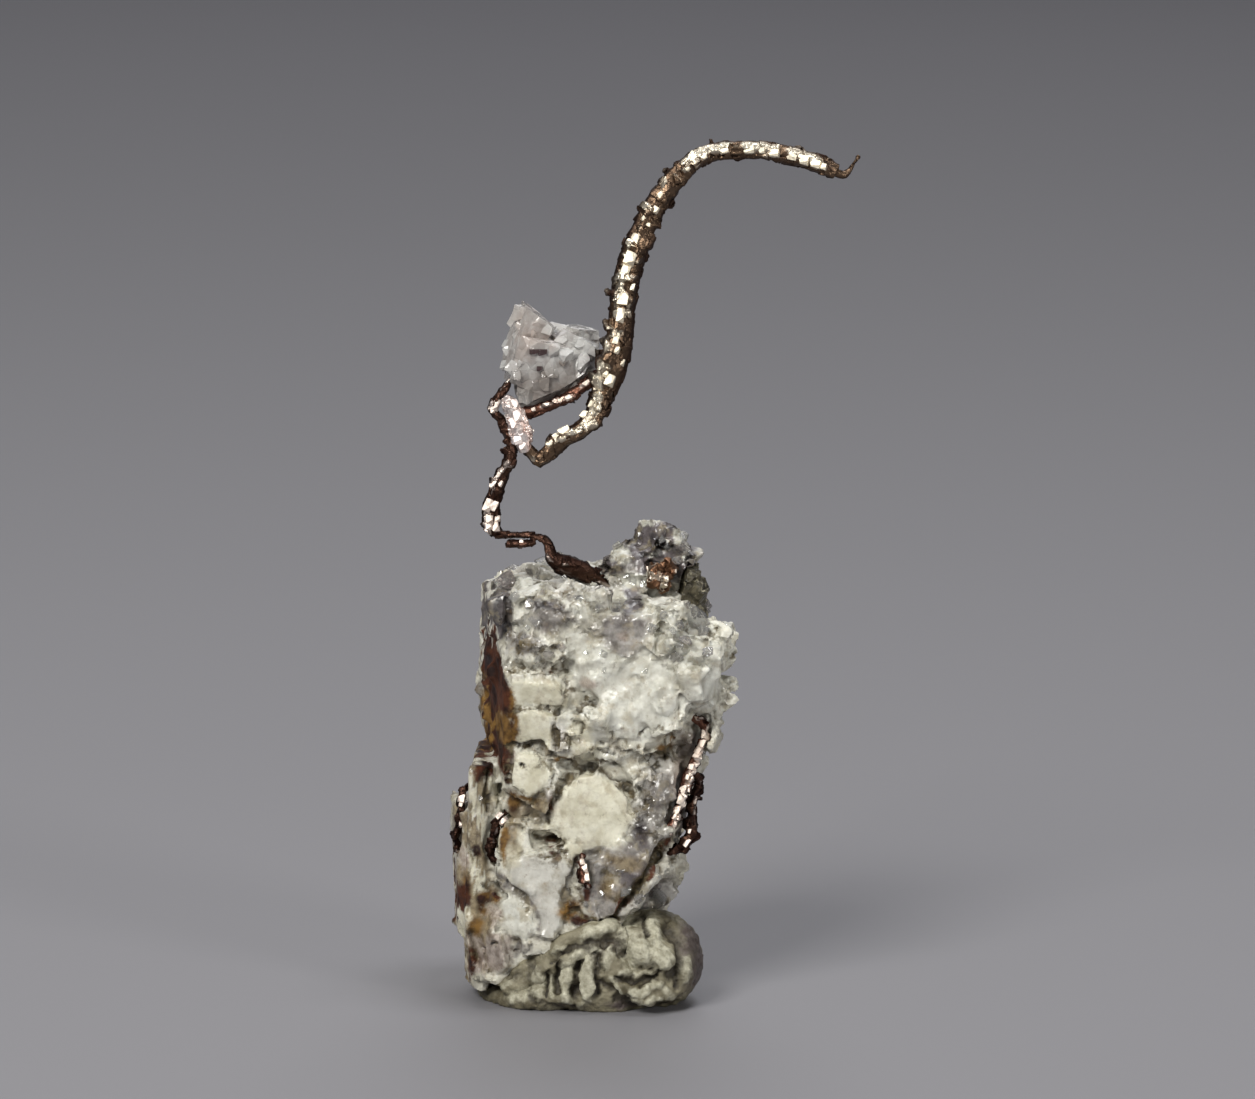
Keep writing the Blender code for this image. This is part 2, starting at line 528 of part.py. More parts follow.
def main():
    clear_scene()
    home = new_collection("native_silver_in_quartz")
    quartz = make_material("milky_quartz", (0.80, 0.79, 0.74), 0.35)
    clear = make_material("clear_quartz", (0.86, 0.87, 0.86), 0.15)
    silver = make_material("tarnished_silver", (0.72, 0.58, 0.44), 0.28, 1.0)
    ore = make_material("dark_ore", (0.13, 0.13, 0.11), 0.45, 0.4)
    putty = make_material("putty", (0.42, 0.41, 0.33), 0.75)

    column = quartz_column(home)
    ore_crust = blocks_joined("ore_crust", ORE_BLOCKS, home, 400)
    knot = blocks_joined("silver_knot", KNOT_BLOCKS, home, 420)
    chip = blocks_joined("quartz_chip", CHIP_BLOCKS, home, 440)

    root = wires_joined("root_wire", (ROOT_ROUTE, ROOT_STUB), home, 0.10, 1, flat_routes=(BAND_ROUTE,))
    loop = wires_joined("loop_wire", (LOOP_ROUTE, LOOP_RETURN), home, 0.08, 2)
    carrier = wires_joined("chip_wire", (CHIP_ROUTE,), home, 0.10, 3)
    curl = wires_joined("curl_wire", (CURL_ROUTE, TIP_CLAW), home, 0.10, 4)
    right = wires_joined("right_side_wire", (RIGHT_ROUTE, RIGHT_LOBE), home, 0.12, 5)
    left_outer = wires_joined("left_outer_wire", (LEFT_OUTER_ROUTE,), home, 0.12, 6)
    left_inner = wires_joined("left_inner_wire", (LEFT_INNER_ROUTE,), home, 0.12, 7)
    tuft = wires_joined("front_wire_tuft", (TUFT_ROUTE,), home, 0.12, 8)

    cut_seats(
        column,
        (ROOT_ROUTE, RIGHT_ROUTE, RIGHT_LOBE, LEFT_OUTER_ROUTE, LEFT_INNER_ROUTE, TUFT_ROUTE),
    )
    for crust in (ore_crust, knot):
        pocket = new_collection(crust.name + "_pocket", hidden=True)
        grown(crust, pocket, GAP)
        cut_away(column, pocket)
    cut_seats(loop, (CURL_ROUTE,), (BAND_ROUTE,))
    cut_seats(carrier, (CURL_ROUTE,), (BAND_ROUTE,))
    cut_seats(chip, (LOOP_ROUTE, LOOP_RETURN, CHIP_ROUTE, CURL_ROUTE), (BAND_ROUTE,))
    pad = putty_pad(column, home)

    finish(column, quartz)
    finish(chip, clear)
    finish(ore_crust, ore)
    finish(pad, putty)
    for wire in (root, loop, carrier, curl, right, left_outer, left_inner, tuft, knot):
        finish(wire, silver)


main()
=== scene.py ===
import itertools
import json
import math
import random

import bpy
import numpy as np
from mathutils import Euler, Matrix, Vector
from mathutils.bvhtree import BVHTree
from mathutils.kdtree import KDTree

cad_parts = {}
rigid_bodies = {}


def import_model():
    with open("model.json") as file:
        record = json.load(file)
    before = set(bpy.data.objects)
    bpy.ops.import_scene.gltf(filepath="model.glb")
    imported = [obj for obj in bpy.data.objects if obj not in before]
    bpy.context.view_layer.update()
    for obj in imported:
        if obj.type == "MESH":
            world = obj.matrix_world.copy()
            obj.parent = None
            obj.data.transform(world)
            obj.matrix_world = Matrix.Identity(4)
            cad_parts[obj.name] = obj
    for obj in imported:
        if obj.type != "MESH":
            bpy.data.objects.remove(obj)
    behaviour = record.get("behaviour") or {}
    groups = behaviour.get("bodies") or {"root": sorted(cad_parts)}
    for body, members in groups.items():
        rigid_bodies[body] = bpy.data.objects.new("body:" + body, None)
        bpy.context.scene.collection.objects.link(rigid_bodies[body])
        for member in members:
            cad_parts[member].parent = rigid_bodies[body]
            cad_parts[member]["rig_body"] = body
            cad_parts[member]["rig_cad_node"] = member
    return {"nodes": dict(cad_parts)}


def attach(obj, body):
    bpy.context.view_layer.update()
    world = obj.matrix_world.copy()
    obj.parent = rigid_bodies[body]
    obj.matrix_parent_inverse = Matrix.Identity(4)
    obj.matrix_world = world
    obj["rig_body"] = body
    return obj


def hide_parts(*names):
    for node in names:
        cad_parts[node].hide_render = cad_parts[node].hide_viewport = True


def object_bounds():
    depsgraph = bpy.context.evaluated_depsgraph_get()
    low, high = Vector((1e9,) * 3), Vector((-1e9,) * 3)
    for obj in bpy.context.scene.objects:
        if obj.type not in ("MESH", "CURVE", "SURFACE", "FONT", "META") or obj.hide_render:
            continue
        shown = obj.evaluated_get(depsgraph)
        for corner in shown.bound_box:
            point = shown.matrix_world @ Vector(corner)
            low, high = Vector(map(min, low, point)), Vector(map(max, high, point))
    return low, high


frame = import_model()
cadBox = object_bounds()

# Native silver in quartz. Sizes here are in millimetres, with +X right, +Z up and -Y to the front.
mm = 0.001
front, back, left, right = (0, -1), (0, 1), (-1, 0), (1, 0)
nodes = frame["nodes"]


# small helpers for selecting, copying and applying

def deselectAll():
    if bpy.context.mode != "OBJECT":
        bpy.ops.object.mode_set(mode="OBJECT")
    bpy.ops.object.select_all(action="DESELECT")


def pick(obj):
    deselectAll()
    obj.select_set(True)
    bpy.context.view_layer.objects.active = obj


def joinInto(first, others):
    pick(first)
    for other in others:
        other.select_set(True)
    bpy.ops.object.join()
    return first


def applyModifier(obj, kind, **values):
    pick(obj)
    modifier = obj.modifiers.new(kind.title(), kind)
    for key, value in values.items():
        setattr(modifier, key, value)
    bpy.ops.object.modifier_apply(modifier=modifier.name)


def placedCopy(source, centre, half, turn):
    # centre and half size in millimetres; turn is a rotation matrix, or degrees about x, y and z
    copy = source.copy()
    copy.data = source.data.copy()
    bpy.context.scene.collection.objects.link(copy)
    if not isinstance(turn, Matrix):
        turn = Euler([math.radians(angle) for angle in turn]).to_matrix()
    copy.data.transform(Matrix.LocRotScale(Vector(centre) * mm, turn, Vector(half) * mm))
    return copy


def copyOfNode(nodeName, name):
    copy = nodes[nodeName].copy()
    copy.data = nodes[nodeName].data.copy()
    copy.parent = None
    copy.name = name
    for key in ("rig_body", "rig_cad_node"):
        if key in copy:
            del copy[key]
    bpy.context.scene.collection.objects.link(copy)
    pick(copy)
    bpy.ops.object.mode_set(mode="EDIT")
    bpy.ops.mesh.select_all(action="SELECT")
    bpy.ops.mesh.remove_doubles(threshold=1e-7)
    bpy.ops.object.mode_set(mode="OBJECT")
    return copy


def pointsOf(mesh):
    points = np.empty(len(mesh.vertices) * 3, np.float32)
    mesh.vertices.foreach_get("co", points)
    return points.reshape(-1, 3).astype(float) / mm


def normalsOf(mesh):
    normals = np.empty(len(mesh.vertices) * 3, np.float32)
    mesh.vertex_normals.foreach_get("vector", normals)
    return normals.reshape(-1, 3).astype(float)


def setPoints(mesh, points):
    mesh.vertices.foreach_set("co", (points * mm).astype(np.float32).reshape(-1))
    mesh.update()


def storeMask(mesh, name, values):
    mask = mesh.attributes.get(name) or mesh.attributes.new(name, "FLOAT", "POINT")
    mask.data.foreach_set("value", np.clip(values, 0, 1).astype(np.float32))


def fillMask(mesh, name, value):
    storeMask(mesh, name, np.full(len(mesh.vertices), value))


def smoothStep(low, high, value):
    share = np.clip((value - low) / (high - low), 0, 1)
    return share * share * (3 - 2 * share)


def nearestCells(points, size, seed):
    # for each point, the way from its nearest scattered seed in cell sizes, that seed's own random numbers,
    # and how far off the border with the next cell is, in the points' own unit
    table = np.random.default_rng(seed).random((8192, 6))
    primes = np.array([7919, 104729, 1299709])  # they turn a cell's place into a row of the table
    scaled = points / size
    base = np.floor(scaled).astype(int)
    best, second = np.full(len(points), np.inf), np.full(len(points), np.inf)
    offset, own = np.zeros((len(points), 3)), np.zeros((len(points), 3))
    for step in itertools.product((-1, 0, 1), repeat=3):
        cell = base + step
        rows = (cell @ primes) % len(table)
        away = scaled - cell - table[rows, :3]
        reach = np.linalg.norm(away, axis=1)
        closer = reach < best
        second = np.where(closer, best, np.minimum(second, reach))
        best[closer], offset[closer], own[closer] = reach[closer], away[closer], table[rows[closer], 3:]
    return offset, own, (second - best) / 2 * size


def breakIntoFacets(obj, size, rise, seed, share=1.0):
    # each cell of the surface becomes a flat of its own tilt
    points = pointsOf(obj.data)
    offset, own, _ = nearestCells(points, size, seed)
    tilt = (offset * (own * 2 - 1)).sum(axis=1) * rise * share
    setPoints(obj.data, points + normalsOf(obj.data) * tilt[:, None])


# block and prism shapes that the crystals are copied from

def brokenBlock(cuts, seed):
    # a cube of half size 1 whose corners and edges are broken off
    chance = random.Random(seed)
    deselectAll()
    bpy.ops.mesh.primitive_cube_add(size=2)
    block = bpy.context.object
    bpy.ops.object.mode_set(mode="EDIT")
    for _ in range(cuts):
        normal = Vector([chance.choice((-1, 1)) * chance.uniform(0.05, 1) for _ in range(3)]).normalized()
        reach = sum(abs(part) for part in normal) * chance.uniform(0.56, 0.8)
        bpy.ops.mesh.select_all(action="SELECT")
        bpy.ops.mesh.bisect(plane_co=normal * reach, plane_no=normal, use_fill=True, clear_outer=True)
    bpy.ops.object.mode_set(mode="OBJECT")
    return block


def quartzPoint(tipTurn, seed):
    # a six-sided prism of half size 1 with a slanting, broken tip
    chance = random.Random(seed)
    deselectAll()
    bpy.ops.mesh.primitive_cylinder_add(vertices=6, radius=1, depth=1.3, location=(0, 0, -0.35))
    point = bpy.context.object
    bpy.ops.object.transform_apply(location=True)
    bpy.ops.object.mode_set(mode="EDIT")
    bpy.ops.mesh.select_all(action="DESELECT")
    bpy.ops.object.mode_set(mode="OBJECT")
    for face in point.data.polygons:
        face.select = face.normal.z > 0.9
    bpy.ops.object.mode_set(mode="EDIT")
    bpy.ops.mesh.select_mode(type="FACE")
    bpy.ops.mesh.extrude_region_move(TRANSFORM_OT_translate={"value": (0.12, -0.08, 0.7)})
    bpy.ops.transform.resize(value=(0.16, 0.16, 1))
    bpy.ops.mesh.select_all(action="SELECT")
    slant = Vector((math.sin(tipTurn) * 0.8, chance.uniform(-0.4, 0.4), 1)).normalized()
    bpy.ops.mesh.bisect(plane_co=slant * 0.8, plane_no=slant, use_fill=True, clear_outer=True)
    bpy.ops.object.mode_set(mode="OBJECT")
    return point


print("crystal shapes")
blockShapes = [brokenBlock(7 + seed % 4, seed) for seed in range(8)]
pointShapes = [quartzPoint(0.9 * seed, seed) for seed in range(4)]
plainBlock = brokenBlock(3, 99)


skins = {}


def skinOf(nodeName):
    # a node's faces, kept for ray casts after the node itself is hidden
    if nodeName not in skins:
        mesh = nodes[nodeName].data
        skins[nodeName] = BVHTree.FromPolygons(
            [vertex.co / mm for vertex in mesh.vertices], [face.vertices[:] for face in mesh.polygons])
    return skins[nodeName]


def faceSpot(nodeName, look, across, height):
    # where a ray from outside meets the node: place and normal
    outward = Vector((*look, 0))
    sideways = Vector((abs(look[1]), abs(look[0]), 0))
    start = sideways * across + Vector((0, 0, height)) + outward * 40  # well outside the piece
    spot, normal, _, _ = skinOf(nodeName).ray_cast(start, -outward)
    return spot, normal


# the direction halfway between the camera and the key light
keyFacing = Vector((-0.21, -0.89, 0.41))


def brightBlocks(skin, spots, seed, spread=0.18, lengthways=None, **masks):
    # blocks nearly flush in the front, each with a face that throws the key light forward: x, z, half size;
    # lengthways gives the direction that they run in at a place
    chance = random.Random(seed)
    made = []
    for x, z, half in spots:
        spot = skin.ray_cast(Vector((x, -20, z)), Vector((0, 1, 0)))[0]  # from well in front
        if spot is None:
            continue
        ahead = lengthways(spot) if lengthways else Vector((chance.uniform(-1, 1), 0, 1))
        outward = (keyFacing + Vector([chance.uniform(-spread, spread) for _ in range(3)])).normalized()
        across = ahead.cross(outward).normalized()
        axes = Matrix((across, -outward, across.cross(-outward))).transposed()
        stretch = chance.uniform(1.0, 1.7) if lengthways else chance.uniform(0.8, 1.2)
        sizes = (half * chance.uniform(0.75, 1.0), half * 0.7, half * stretch)
        shape = blockShapes[chance.randrange(len(blockShapes))] if chance.random() < 0.4 else plainBlock
        block = placedCopy(shape, spot - outward * half * 0.25, sizes, axes)
        for name, value in masks.items():
            fillMask(block.data, name, value)
        made.append(block)
    return made


def crystalsOn(nodeName, patches, shapes, seed):
    # crystals scattered over patches of a node's faces, each partly sunk
    chance = random.Random(seed)
    made = []
    for look, count, across, upright, halfRange, sink, lean in patches:
        for number in range(count):
            height = upright[0] + (upright[1] - upright[0]) * (number + chance.random()) / count
            spot, normal = faceSpot(nodeName, look, chance.uniform(*across), height)
            size = chance.uniform(*halfRange)
            half = [size * chance.uniform(0.6, 1.3) for _ in range(3)]
            turn = [chance.uniform(-lean, lean) for _ in range(3)]
            shape = shapes[chance.randrange(len(shapes))]
            milk = chance.random()
            if spot is not None:
                crystal = placedCopy(shape, spot - normal * sink * size, half, turn)
                fillMask(crystal.data, "milk", milk)
                made.append(crystal)
    return made


# shader node groups: named inputs and outputs, each placed with its own values

def newGroup(name, inputs, outputs):
    # inputs are names and values, and a tuple is a vector
    tree = bpy.data.node_groups.new(name, "ShaderNodeTree")
    for socketName, value in inputs.items():
        socketType = "NodeSocketVector" if isinstance(value, tuple) else "NodeSocketFloat"
        socket = tree.interface.new_socket(socketName, in_out="INPUT", socket_type=socketType)
        socket.default_value = value
    for socketName in outputs:
        tree.interface.new_socket(socketName, in_out="OUTPUT", socket_type="NodeSocketFloat")
    return tree, tree.nodes.new("NodeGroupInput"), tree.nodes.new("NodeGroupOutput")


def setInputs(tree, node, values):
    # each value is a constant or another node's socket
    for socket, value in values.items():
        if isinstance(value, bpy.types.NodeSocket):
            tree.links.new(value, node.inputs[socket])
        else:
            node.inputs[socket].default_value = value


def addNode(tree, kind, values=None, **settings):
    node = tree.nodes.new(kind)
    for key, value in settings.items():
        setattr(node, key, value)
    setInputs(tree, node, values or {})
    return node


def useGroup(tree, group, values):
    return addNode(tree, "ShaderNodeGroup", values, node_tree=group)


def attribute(tree, name):
    return addNode(tree, "ShaderNodeAttribute", attribute_name=name).outputs["Fac"]


def maths(tree, operation, first, second):
    return addNode(tree, "ShaderNodeMath", {0: first, 1: second}, operation=operation).outputs[0]


def vectorMaths(tree, operation, first, second):
    return addNode(tree, "ShaderNodeVectorMath", {0: first, 1: second}, operation=operation).outputs


def multiplyAdd(tree, first, second, third, clamp=False):
    values = {0: first, 1: second, 2: third}
    return addNode(tree, "ShaderNodeMath", values, operation="MULTIPLY_ADD", use_clamp=clamp).outputs[0]


def stretched(tree, value, low, high):
    # 0 at low and 1 at high
    values = {"Value": value, "From Min": low, "From Max": high}
    return addNode(tree, "ShaderNodeMapRange", values).outputs[0]


def blended(tree, share, first, second, blend="MIX"):
    # two colours by share
    values = {0: share, 6: first, 7: second}
    return addNode(tree, "ShaderNodeMix", values, data_type="RGBA", blend_type=blend).outputs[2]


def laidOver(tree, under, over, mask, strength):
    return blended(tree, maths(tree, "MULTIPLY", mask, strength), under, over)


def bumped(tree, height, strength, distance):
    values = {"Height": height, "Strength": strength, "Distance": distance}
    return addNode(tree, "ShaderNodeBump", values).outputs[0]


def rgb(red, green, blue):
    return (red, green, blue, 1.0)


def grey(level):
    return rgb(level, level, level)


def placeAndScale(tree, inside):
    # the place on the piece, and how many times the pattern's size in millimetres goes into a metre
    place = addNode(tree, "ShaderNodeTexCoord").outputs["Object"]
    return place, maths(tree, "DIVIDE", 1000.0, inside.outputs["Size"])


def noiseGroup():
    # value noise in object space, with its contrast set by Low and High
    values = {"Size": 1.0, "Detail": 3.0, "Low": 0.4, "High": 0.6, "Shift": (0.0, 0.0, 0.0)}
    tree, inside, outside = newGroup("mottle", values, ["Mask"])
    place, scale = placeAndScale(tree, inside)
    moved = vectorMaths(tree, "ADD", place, inside.outputs["Shift"])
    noise = addNode(tree, "ShaderNodeTexNoise", {
        "Vector": moved[0], "Scale": scale, "Detail": inside.outputs["Detail"], "Roughness": 0.6})
    mask = stretched(tree, noise.outputs["Fac"], inside.outputs["Low"], inside.outputs["High"])
    tree.links.new(mask, outside.inputs["Mask"])
    return tree


def stainGroup():
    # a painted mask whose edge noise has eaten into, coarsely and then finely
    values = {"Mask": 0.0, "Size": 0.8, "Ragged": 2.4, "Soft": 0.25}
    tree, inside, outside = newGroup("stain", values, ["Mask"])
    place, scale = placeAndScale(tree, inside)
    noise = addNode(tree, "ShaderNodeTexNoise", {
        "Vector": place, "Scale": scale, "Detail": 6.0, "Roughness": 0.72})
    centred = maths(tree, "SUBTRACT", noise.outputs["Fac"], 0.5)
    eaten = multiplyAdd(tree, centred, inside.outputs["Ragged"], inside.outputs["Mask"])
    low = maths(tree, "SUBTRACT", 0.5, inside.outputs["Soft"])
    high = maths(tree, "ADD", 0.5, inside.outputs["Soft"])
    tree.links.new(stretched(tree, eaten, low, high), outside.inputs["Mask"])
    return tree


def grainGroup():
    # sugary grains: each cell is a flat of its own tilt and tone, as a height for a bump
    tree, inside, outside = newGroup("grain", {"Size": 0.3, "Crevice": 0.1}, ["Height", "Tone"])
    place, scale = placeAndScale(tree, inside)
    values = {"Vector": place, "Scale": scale}
    cells = addNode(tree, "ShaderNodeTexVoronoi", values)
    edges = addNode(tree, "ShaderNodeTexVoronoi", values, feature="DISTANCE_TO_EDGE")
    edge = stretched(tree, edges.outputs["Distance"], 0.0, 0.12)
    away = vectorMaths(tree, "SUBTRACT", place, cells.outputs["Position"])[0]
    lean = vectorMaths(tree, "SUBTRACT", cells.outputs["Color"], (0.5, 0.5, 0.5))[0]
    slope = vectorMaths(tree, "DOT_PRODUCT", away, lean)["Value"]
    height = multiplyAdd(tree, edge, inside.outputs["Crevice"], maths(tree, "MULTIPLY", slope, scale))
    tone = addNode(tree, "ShaderNodeSeparateColor", {"Color": cells.outputs["Color"]})
    tree.links.new(height, outside.inputs["Height"])
    tree.links.new(tone.outputs[1], outside.inputs["Tone"])
    return tree


mottle = noiseGroup()
stain = stainGroup()
grain = grainGroup()


def mottled(tree, size, detail, low, high, shift=0.0):
    values = {"Size": size, "Detail": detail, "Low": low, "High": high, "Shift": (shift, 0.0, 0.0)}
    return useGroup(tree, mottle, values).outputs[0]


def newMaterial(name):
    material = bpy.data.materials.new(name)
    material.use_nodes = True
    tree = material.node_tree
    return material, tree, tree.nodes["Principled BSDF"]


# materials

quartzTones = {
    # two colours for each finish, and the noise that mixes them
    "grey": ("cloudy", rgb(0.5, 0.475, 0.38), rgb(0.82, 0.81, 0.71)),
    "white": ("middle", rgb(0.52, 0.51, 0.44), rgb(0.79, 0.79, 0.71)),
    "cream": ("middle", rgb(0.6, 0.57, 0.43), rgb(0.82, 0.8, 0.66)),
    "haze": ("fine", rgb(0.15, 0.135, 0.125), rgb(0.36, 0.34, 0.315)),
    "glass": ("middle", rgb(0.15, 0.135, 0.125), rgb(0.58, 0.56, 0.53)),
    "dusk": ("middle", rgb(0.032, 0.026, 0.029), rgb(0.135, 0.116, 0.12)),
    "pink": ("fine", rgb(0.27, 0.205, 0.165), rgb(0.62, 0.54, 0.47)),
    "ochre": ("middle", rgb(0.045, 0.019, 0.006), rgb(0.245, 0.135, 0.035)),
    "rust": ("middle", rgb(0.016, 0.005, 0.003), rgb(0.092, 0.029, 0.012)),
    "umber": ("fine", rgb(0.11, 0.073, 0.032), rgb(0.36, 0.29, 0.175)),
    "grime": ("fine", rgb(0.035, 0.027, 0.015), rgb(0.17, 0.135, 0.075)),
    "tan": ("fine", rgb(0.3, 0.25, 0.15), rgb(0.58, 0.52, 0.38)),
}
quartzLayers = {
    # edge noise size, how ragged and how soft the edge is, and strength
    "stone": {
        "glass": (1.2, 2.0, 0.4, 0.85), "haze": (1.0, 1.4, 0.35, 0.9), "white": (1.2, 1.1, 0.25, 0.95),
        "cream": (1.0, 1.2, 0.25, 0.95), "dusk": (0.9, 1.6, 0.3, 0.95), "pink": (1.0, 2.4, 0.35, 0.85),
    },
    "dirt": {
        "shade": (1.0, 1.0, 0.6, 0.8), "umber": (0.7, 1.2, 0.45, 0.9), "ochre": (0.9, 1.9, 0.35, 1.0),
        "rust": (0.8, 1.8, 0.25, 1.0), "grime": (0.45, 2.2, 0.25, 0.95), "pitShade": (0.4, 0.9, 0.25, 0.95),
    },
}


def stainLayers(tree, colour, layers, tones):
    # each layer in turn over the colour, where its own mask is
    for name, (size, ragged, soft, strength) in layers.items():
        values = {"Mask": attribute(tree, name), "Size": size, "Ragged": ragged, "Soft": soft}
        colour = laidOver(tree, colour, tones[name], useGroup(tree, stain, values).outputs[0], strength)
    return colour


def quartzMaterial():
    material, tree, shader = newMaterial("milkyQuartz")
    sugar = useGroup(tree, grain, {"Size": 0.55, "Crevice": 0.0})
    grit = useGroup(tree, grain, {"Size": 0.26, "Crevice": 0.02})
    noises = {
        "cloudy": mottled(tree, 2.6, 3.0, 0.38, 0.62),
        "middle": mottled(tree, 1.1, 3.0, 0.38, 0.6),
        "fine": mottled(tree, 0.45, 3.0, 0.36, 0.64),
    }
    tones = {name: blended(tree, noises[noise], *pair) for name, (noise, *pair) in quartzTones.items()}
    tones["cream"] = laidOver(tree, tones["cream"], rgb(0.62, 0.58, 0.44), noises["fine"], 0.25)
    # pits are painted near black: painted shade
    tones["pitShade"] = rgb(0.018, 0.013, 0.014)
    colour = laidOver(tree, tones["grey"], rgb(0.84, 0.83, 0.74), noises["middle"], 0.45)
    colour = stainLayers(tree, colour, quartzLayers["stone"], tones)
    # sugary grains differ a little, with tan flecks and olive specks between them
    shade = blended(tree, sugar.outputs["Tone"], rgb(0.86, 0.85, 0.83), grey(1.0))
    colour = blended(tree, attribute(tree, "sugar"), colour, blended(tree, 1.0, colour, shade, "MULTIPLY"))
    colour = laidOver(tree, colour, tones["tan"], mottled(tree, 0.9, 3.0, 0.54, 0.66, 0.01), 0.55)
    specks = mottled(tree, 0.7, 5.0, 0.52, 0.62)
    colour = laidOver(tree, colour, tones["grime"], specks, attribute(tree, "dirty"))
    tones["shade"] = blended(tree, 1.0, colour, rgb(0.66, 0.64, 0.65), "MULTIPLY")
    colour = stainLayers(tree, colour, quartzLayers["dirt"], tones)
    # hollows are darkened with the grime colour: settled grime and painted shade
    hollow = stretched(tree, attribute(tree, "cavity"), 0.64, 1.0)
    colour = laidOver(tree, colour, tones["grime"], hollow, 0.8)
    # glassy places are the glossiest, sugary ones vary by grain, and rust and ochre are dull
    gloss = blended(tree, sugar.outputs["Tone"], grey(0.24), grey(0.6))
    gloss = laidOver(tree, gloss, grey(0.14), attribute(tree, "glass"), 0.8)
    earthy = maths(tree, "MAXIMUM", attribute(tree, "rust"), attribute(tree, "ochre"))
    height = multiplyAdd(tree, grit.outputs["Height"], 0.5, sugar.outputs["Height"])
    relief = maths(tree, "MULTIPLY", height, multiplyAdd(tree, attribute(tree, "sugar"), 0.7, 0.3))
    setInputs(tree, shader, {
        "Base Color": colour, "Roughness": blended(tree, earthy, gloss, grey(0.62)),
        "Specular IOR Level": multiplyAdd(tree, earthy, -0.45, 0.7, clamp=True),
        "Normal": bumped(tree, relief, 1.0, 0.0002), "Subsurface Weight": 0.2,
        "Subsurface Radius": (1.0, 0.92, 0.8), "Subsurface Scale": 0.0005, "IOR": 1.54})
    return material


def clearQuartzMaterial(name, look):
    # milk is how white a crystal is; pale, warm and brown tint it, and a slot is a dark hollow painted with
    # its shade
    material, tree, shader = newMaterial(name)
    veil = mottled(tree, 0.9, 5.0, 0.4, 0.6)
    chips = useGroup(tree, grain, {"Size": 0.45, "Crevice": 0.05})
    colour = blended(tree, attribute(tree, "milk"), look["tint"], rgb(0.95, 0.95, 0.93))
    colour = laidOver(tree, colour, rgb(0.97, 0.97, 0.95), veil, 0.7)
    for mask, strength, tint in (
        ("pale", 0.5, rgb(0.84, 0.84, 0.82)), ("warm", 0.7, rgb(0.74, 0.62, 0.55)),
        ("brown", 0.75, rgb(0.24, 0.185, 0.145)), ("slot", 1.0, rgb(0.1, 0.06, 0.06)),
    ):
        colour = laidOver(tree, colour, tint, attribute(tree, mask), strength)
    setInputs(tree, shader, {
        "Base Color": colour, "Normal": bumped(tree, chips.outputs["Height"], 0.7, look["grit"]),
        "Transmission Weight": look["transmission"], "Roughness": look["roughness"], "IOR": 1.55})
    return material


def silverMaterial(name, bright, bronze, dirt, cleanLow, cleanHigh):
    # tone is a face's own tarnish, and on the wires also a painted highlight on their left side and front;
    # notch is the dirt between crystals, and on round wires also painted shade on their sides
    material, tree, shader = newMaterial(name)
    tone, notch = attribute(tree, "tone"), attribute(tree, "notch")
    fine = mottled(tree, 0.22, 4.0, 0.35, 0.65)
    wide = mottled(tree, 1.5, 2.0, 0.38, 0.62)
    colour = blended(tree, stretched(tree, tone, cleanLow, cleanHigh), bronze, bright)
    colour = laidOver(tree, colour, dirt, maths(tree, "MULTIPLY", wide, fine), 0.6)
    flat = stretched(tree, tone, 0.95, 1.0)
    rough = blended(tree, notch, blended(tree, flat, grey(0.4), grey(0.62)), grey(0.6))
    setInputs(tree, shader, {
        "Base Color": blended(tree, notch, colour, dirt), "Roughness": rough,
        "Normal": bumped(tree, fine, 0.25, 0.00004), "Metallic": 1.0})
    return material


# the plum and groove layers are painted shade and the crest layer a painted highlight
puttyLayers = {"plumShade": (0.7, 1.4, 0.4, 0.9), "crestHighlight": (0.6, 1.5, 0.3, 0.9), "grooveShade": (0.4, 1.5, 0.3, 0.9)}


def puttyMaterial():
    material, tree, shader = newMaterial("kneadedPutty")
    cloudy = mottled(tree, 1.4, 5.0, 0.36, 0.64)
    fine = mottled(tree, 0.35, 6.0, 0.34, 0.66)
    tones = {
        "plumShade": blended(tree, fine, rgb(0.03, 0.02, 0.02), rgb(0.105, 0.08, 0.078)),
        "crestHighlight": blended(tree, fine, rgb(0.31, 0.29, 0.205), rgb(0.63, 0.61, 0.48)),
        "grooveShade": blended(tree, fine, rgb(0.022, 0.017, 0.012), rgb(0.075, 0.062, 0.038)),
    }
    colour = blended(tree, cloudy, rgb(0.11, 0.094, 0.056), rgb(0.27, 0.245, 0.165))
    colour = stainLayers(tree, colour, puttyLayers, tones)
    # hollows are darkened with the groove colour: painted shade
    hollow = stretched(tree, attribute(tree, "cavity"), 0.58, 0.88)
    colour = laidOver(tree, colour, tones["grooveShade"], hollow, 0.8)
    setInputs(tree, shader, {
        "Base Color": colour, "Normal": bumped(tree, fine, 0.6, 0.0001), "Roughness": 0.45,
        "Specular IOR Level": 0.45})
    return material


def oreMaterial():
    material, tree, shader = newMaterial("darkOre")
    fine = mottled(tree, 0.5, 4.0, 0.35, 0.65)
    specks = mottled(tree, 0.35, 3.0, 0.56, 0.64, 0.02)
    colour = blended(tree, fine, rgb(0.016, 0.013, 0.009), rgb(0.115, 0.1, 0.062))
    colour = blended(tree, specks, colour, rgb(0.34, 0.31, 0.22))
    setInputs(tree, shader, {
        "Base Color": colour, "Normal": bumped(tree, fine, 0.5, 0.0001), "Roughness": 0.4, "Metallic": 0.2})
    return material


def floorMaterial(colour):
    material, tree, shader = newMaterial("paleFloorPaint")
    darker = rgb(*[part * 0.97 for part in colour[:3]])
    shade = laidOver(tree, colour, darker, mottled(tree, 60.0, 2.0, 0.2, 0.8), 0.3)
    setInputs(tree, shader, {"Base Color": shade, "Roughness": 0.6})
    return material


# the steps that several pieces share

# what stands past start on the right comes in to a share of its reach, up to top
drawnSide = {"start": 4.4, "share": 0.6, "top": 25.4, "blend": 0.6}


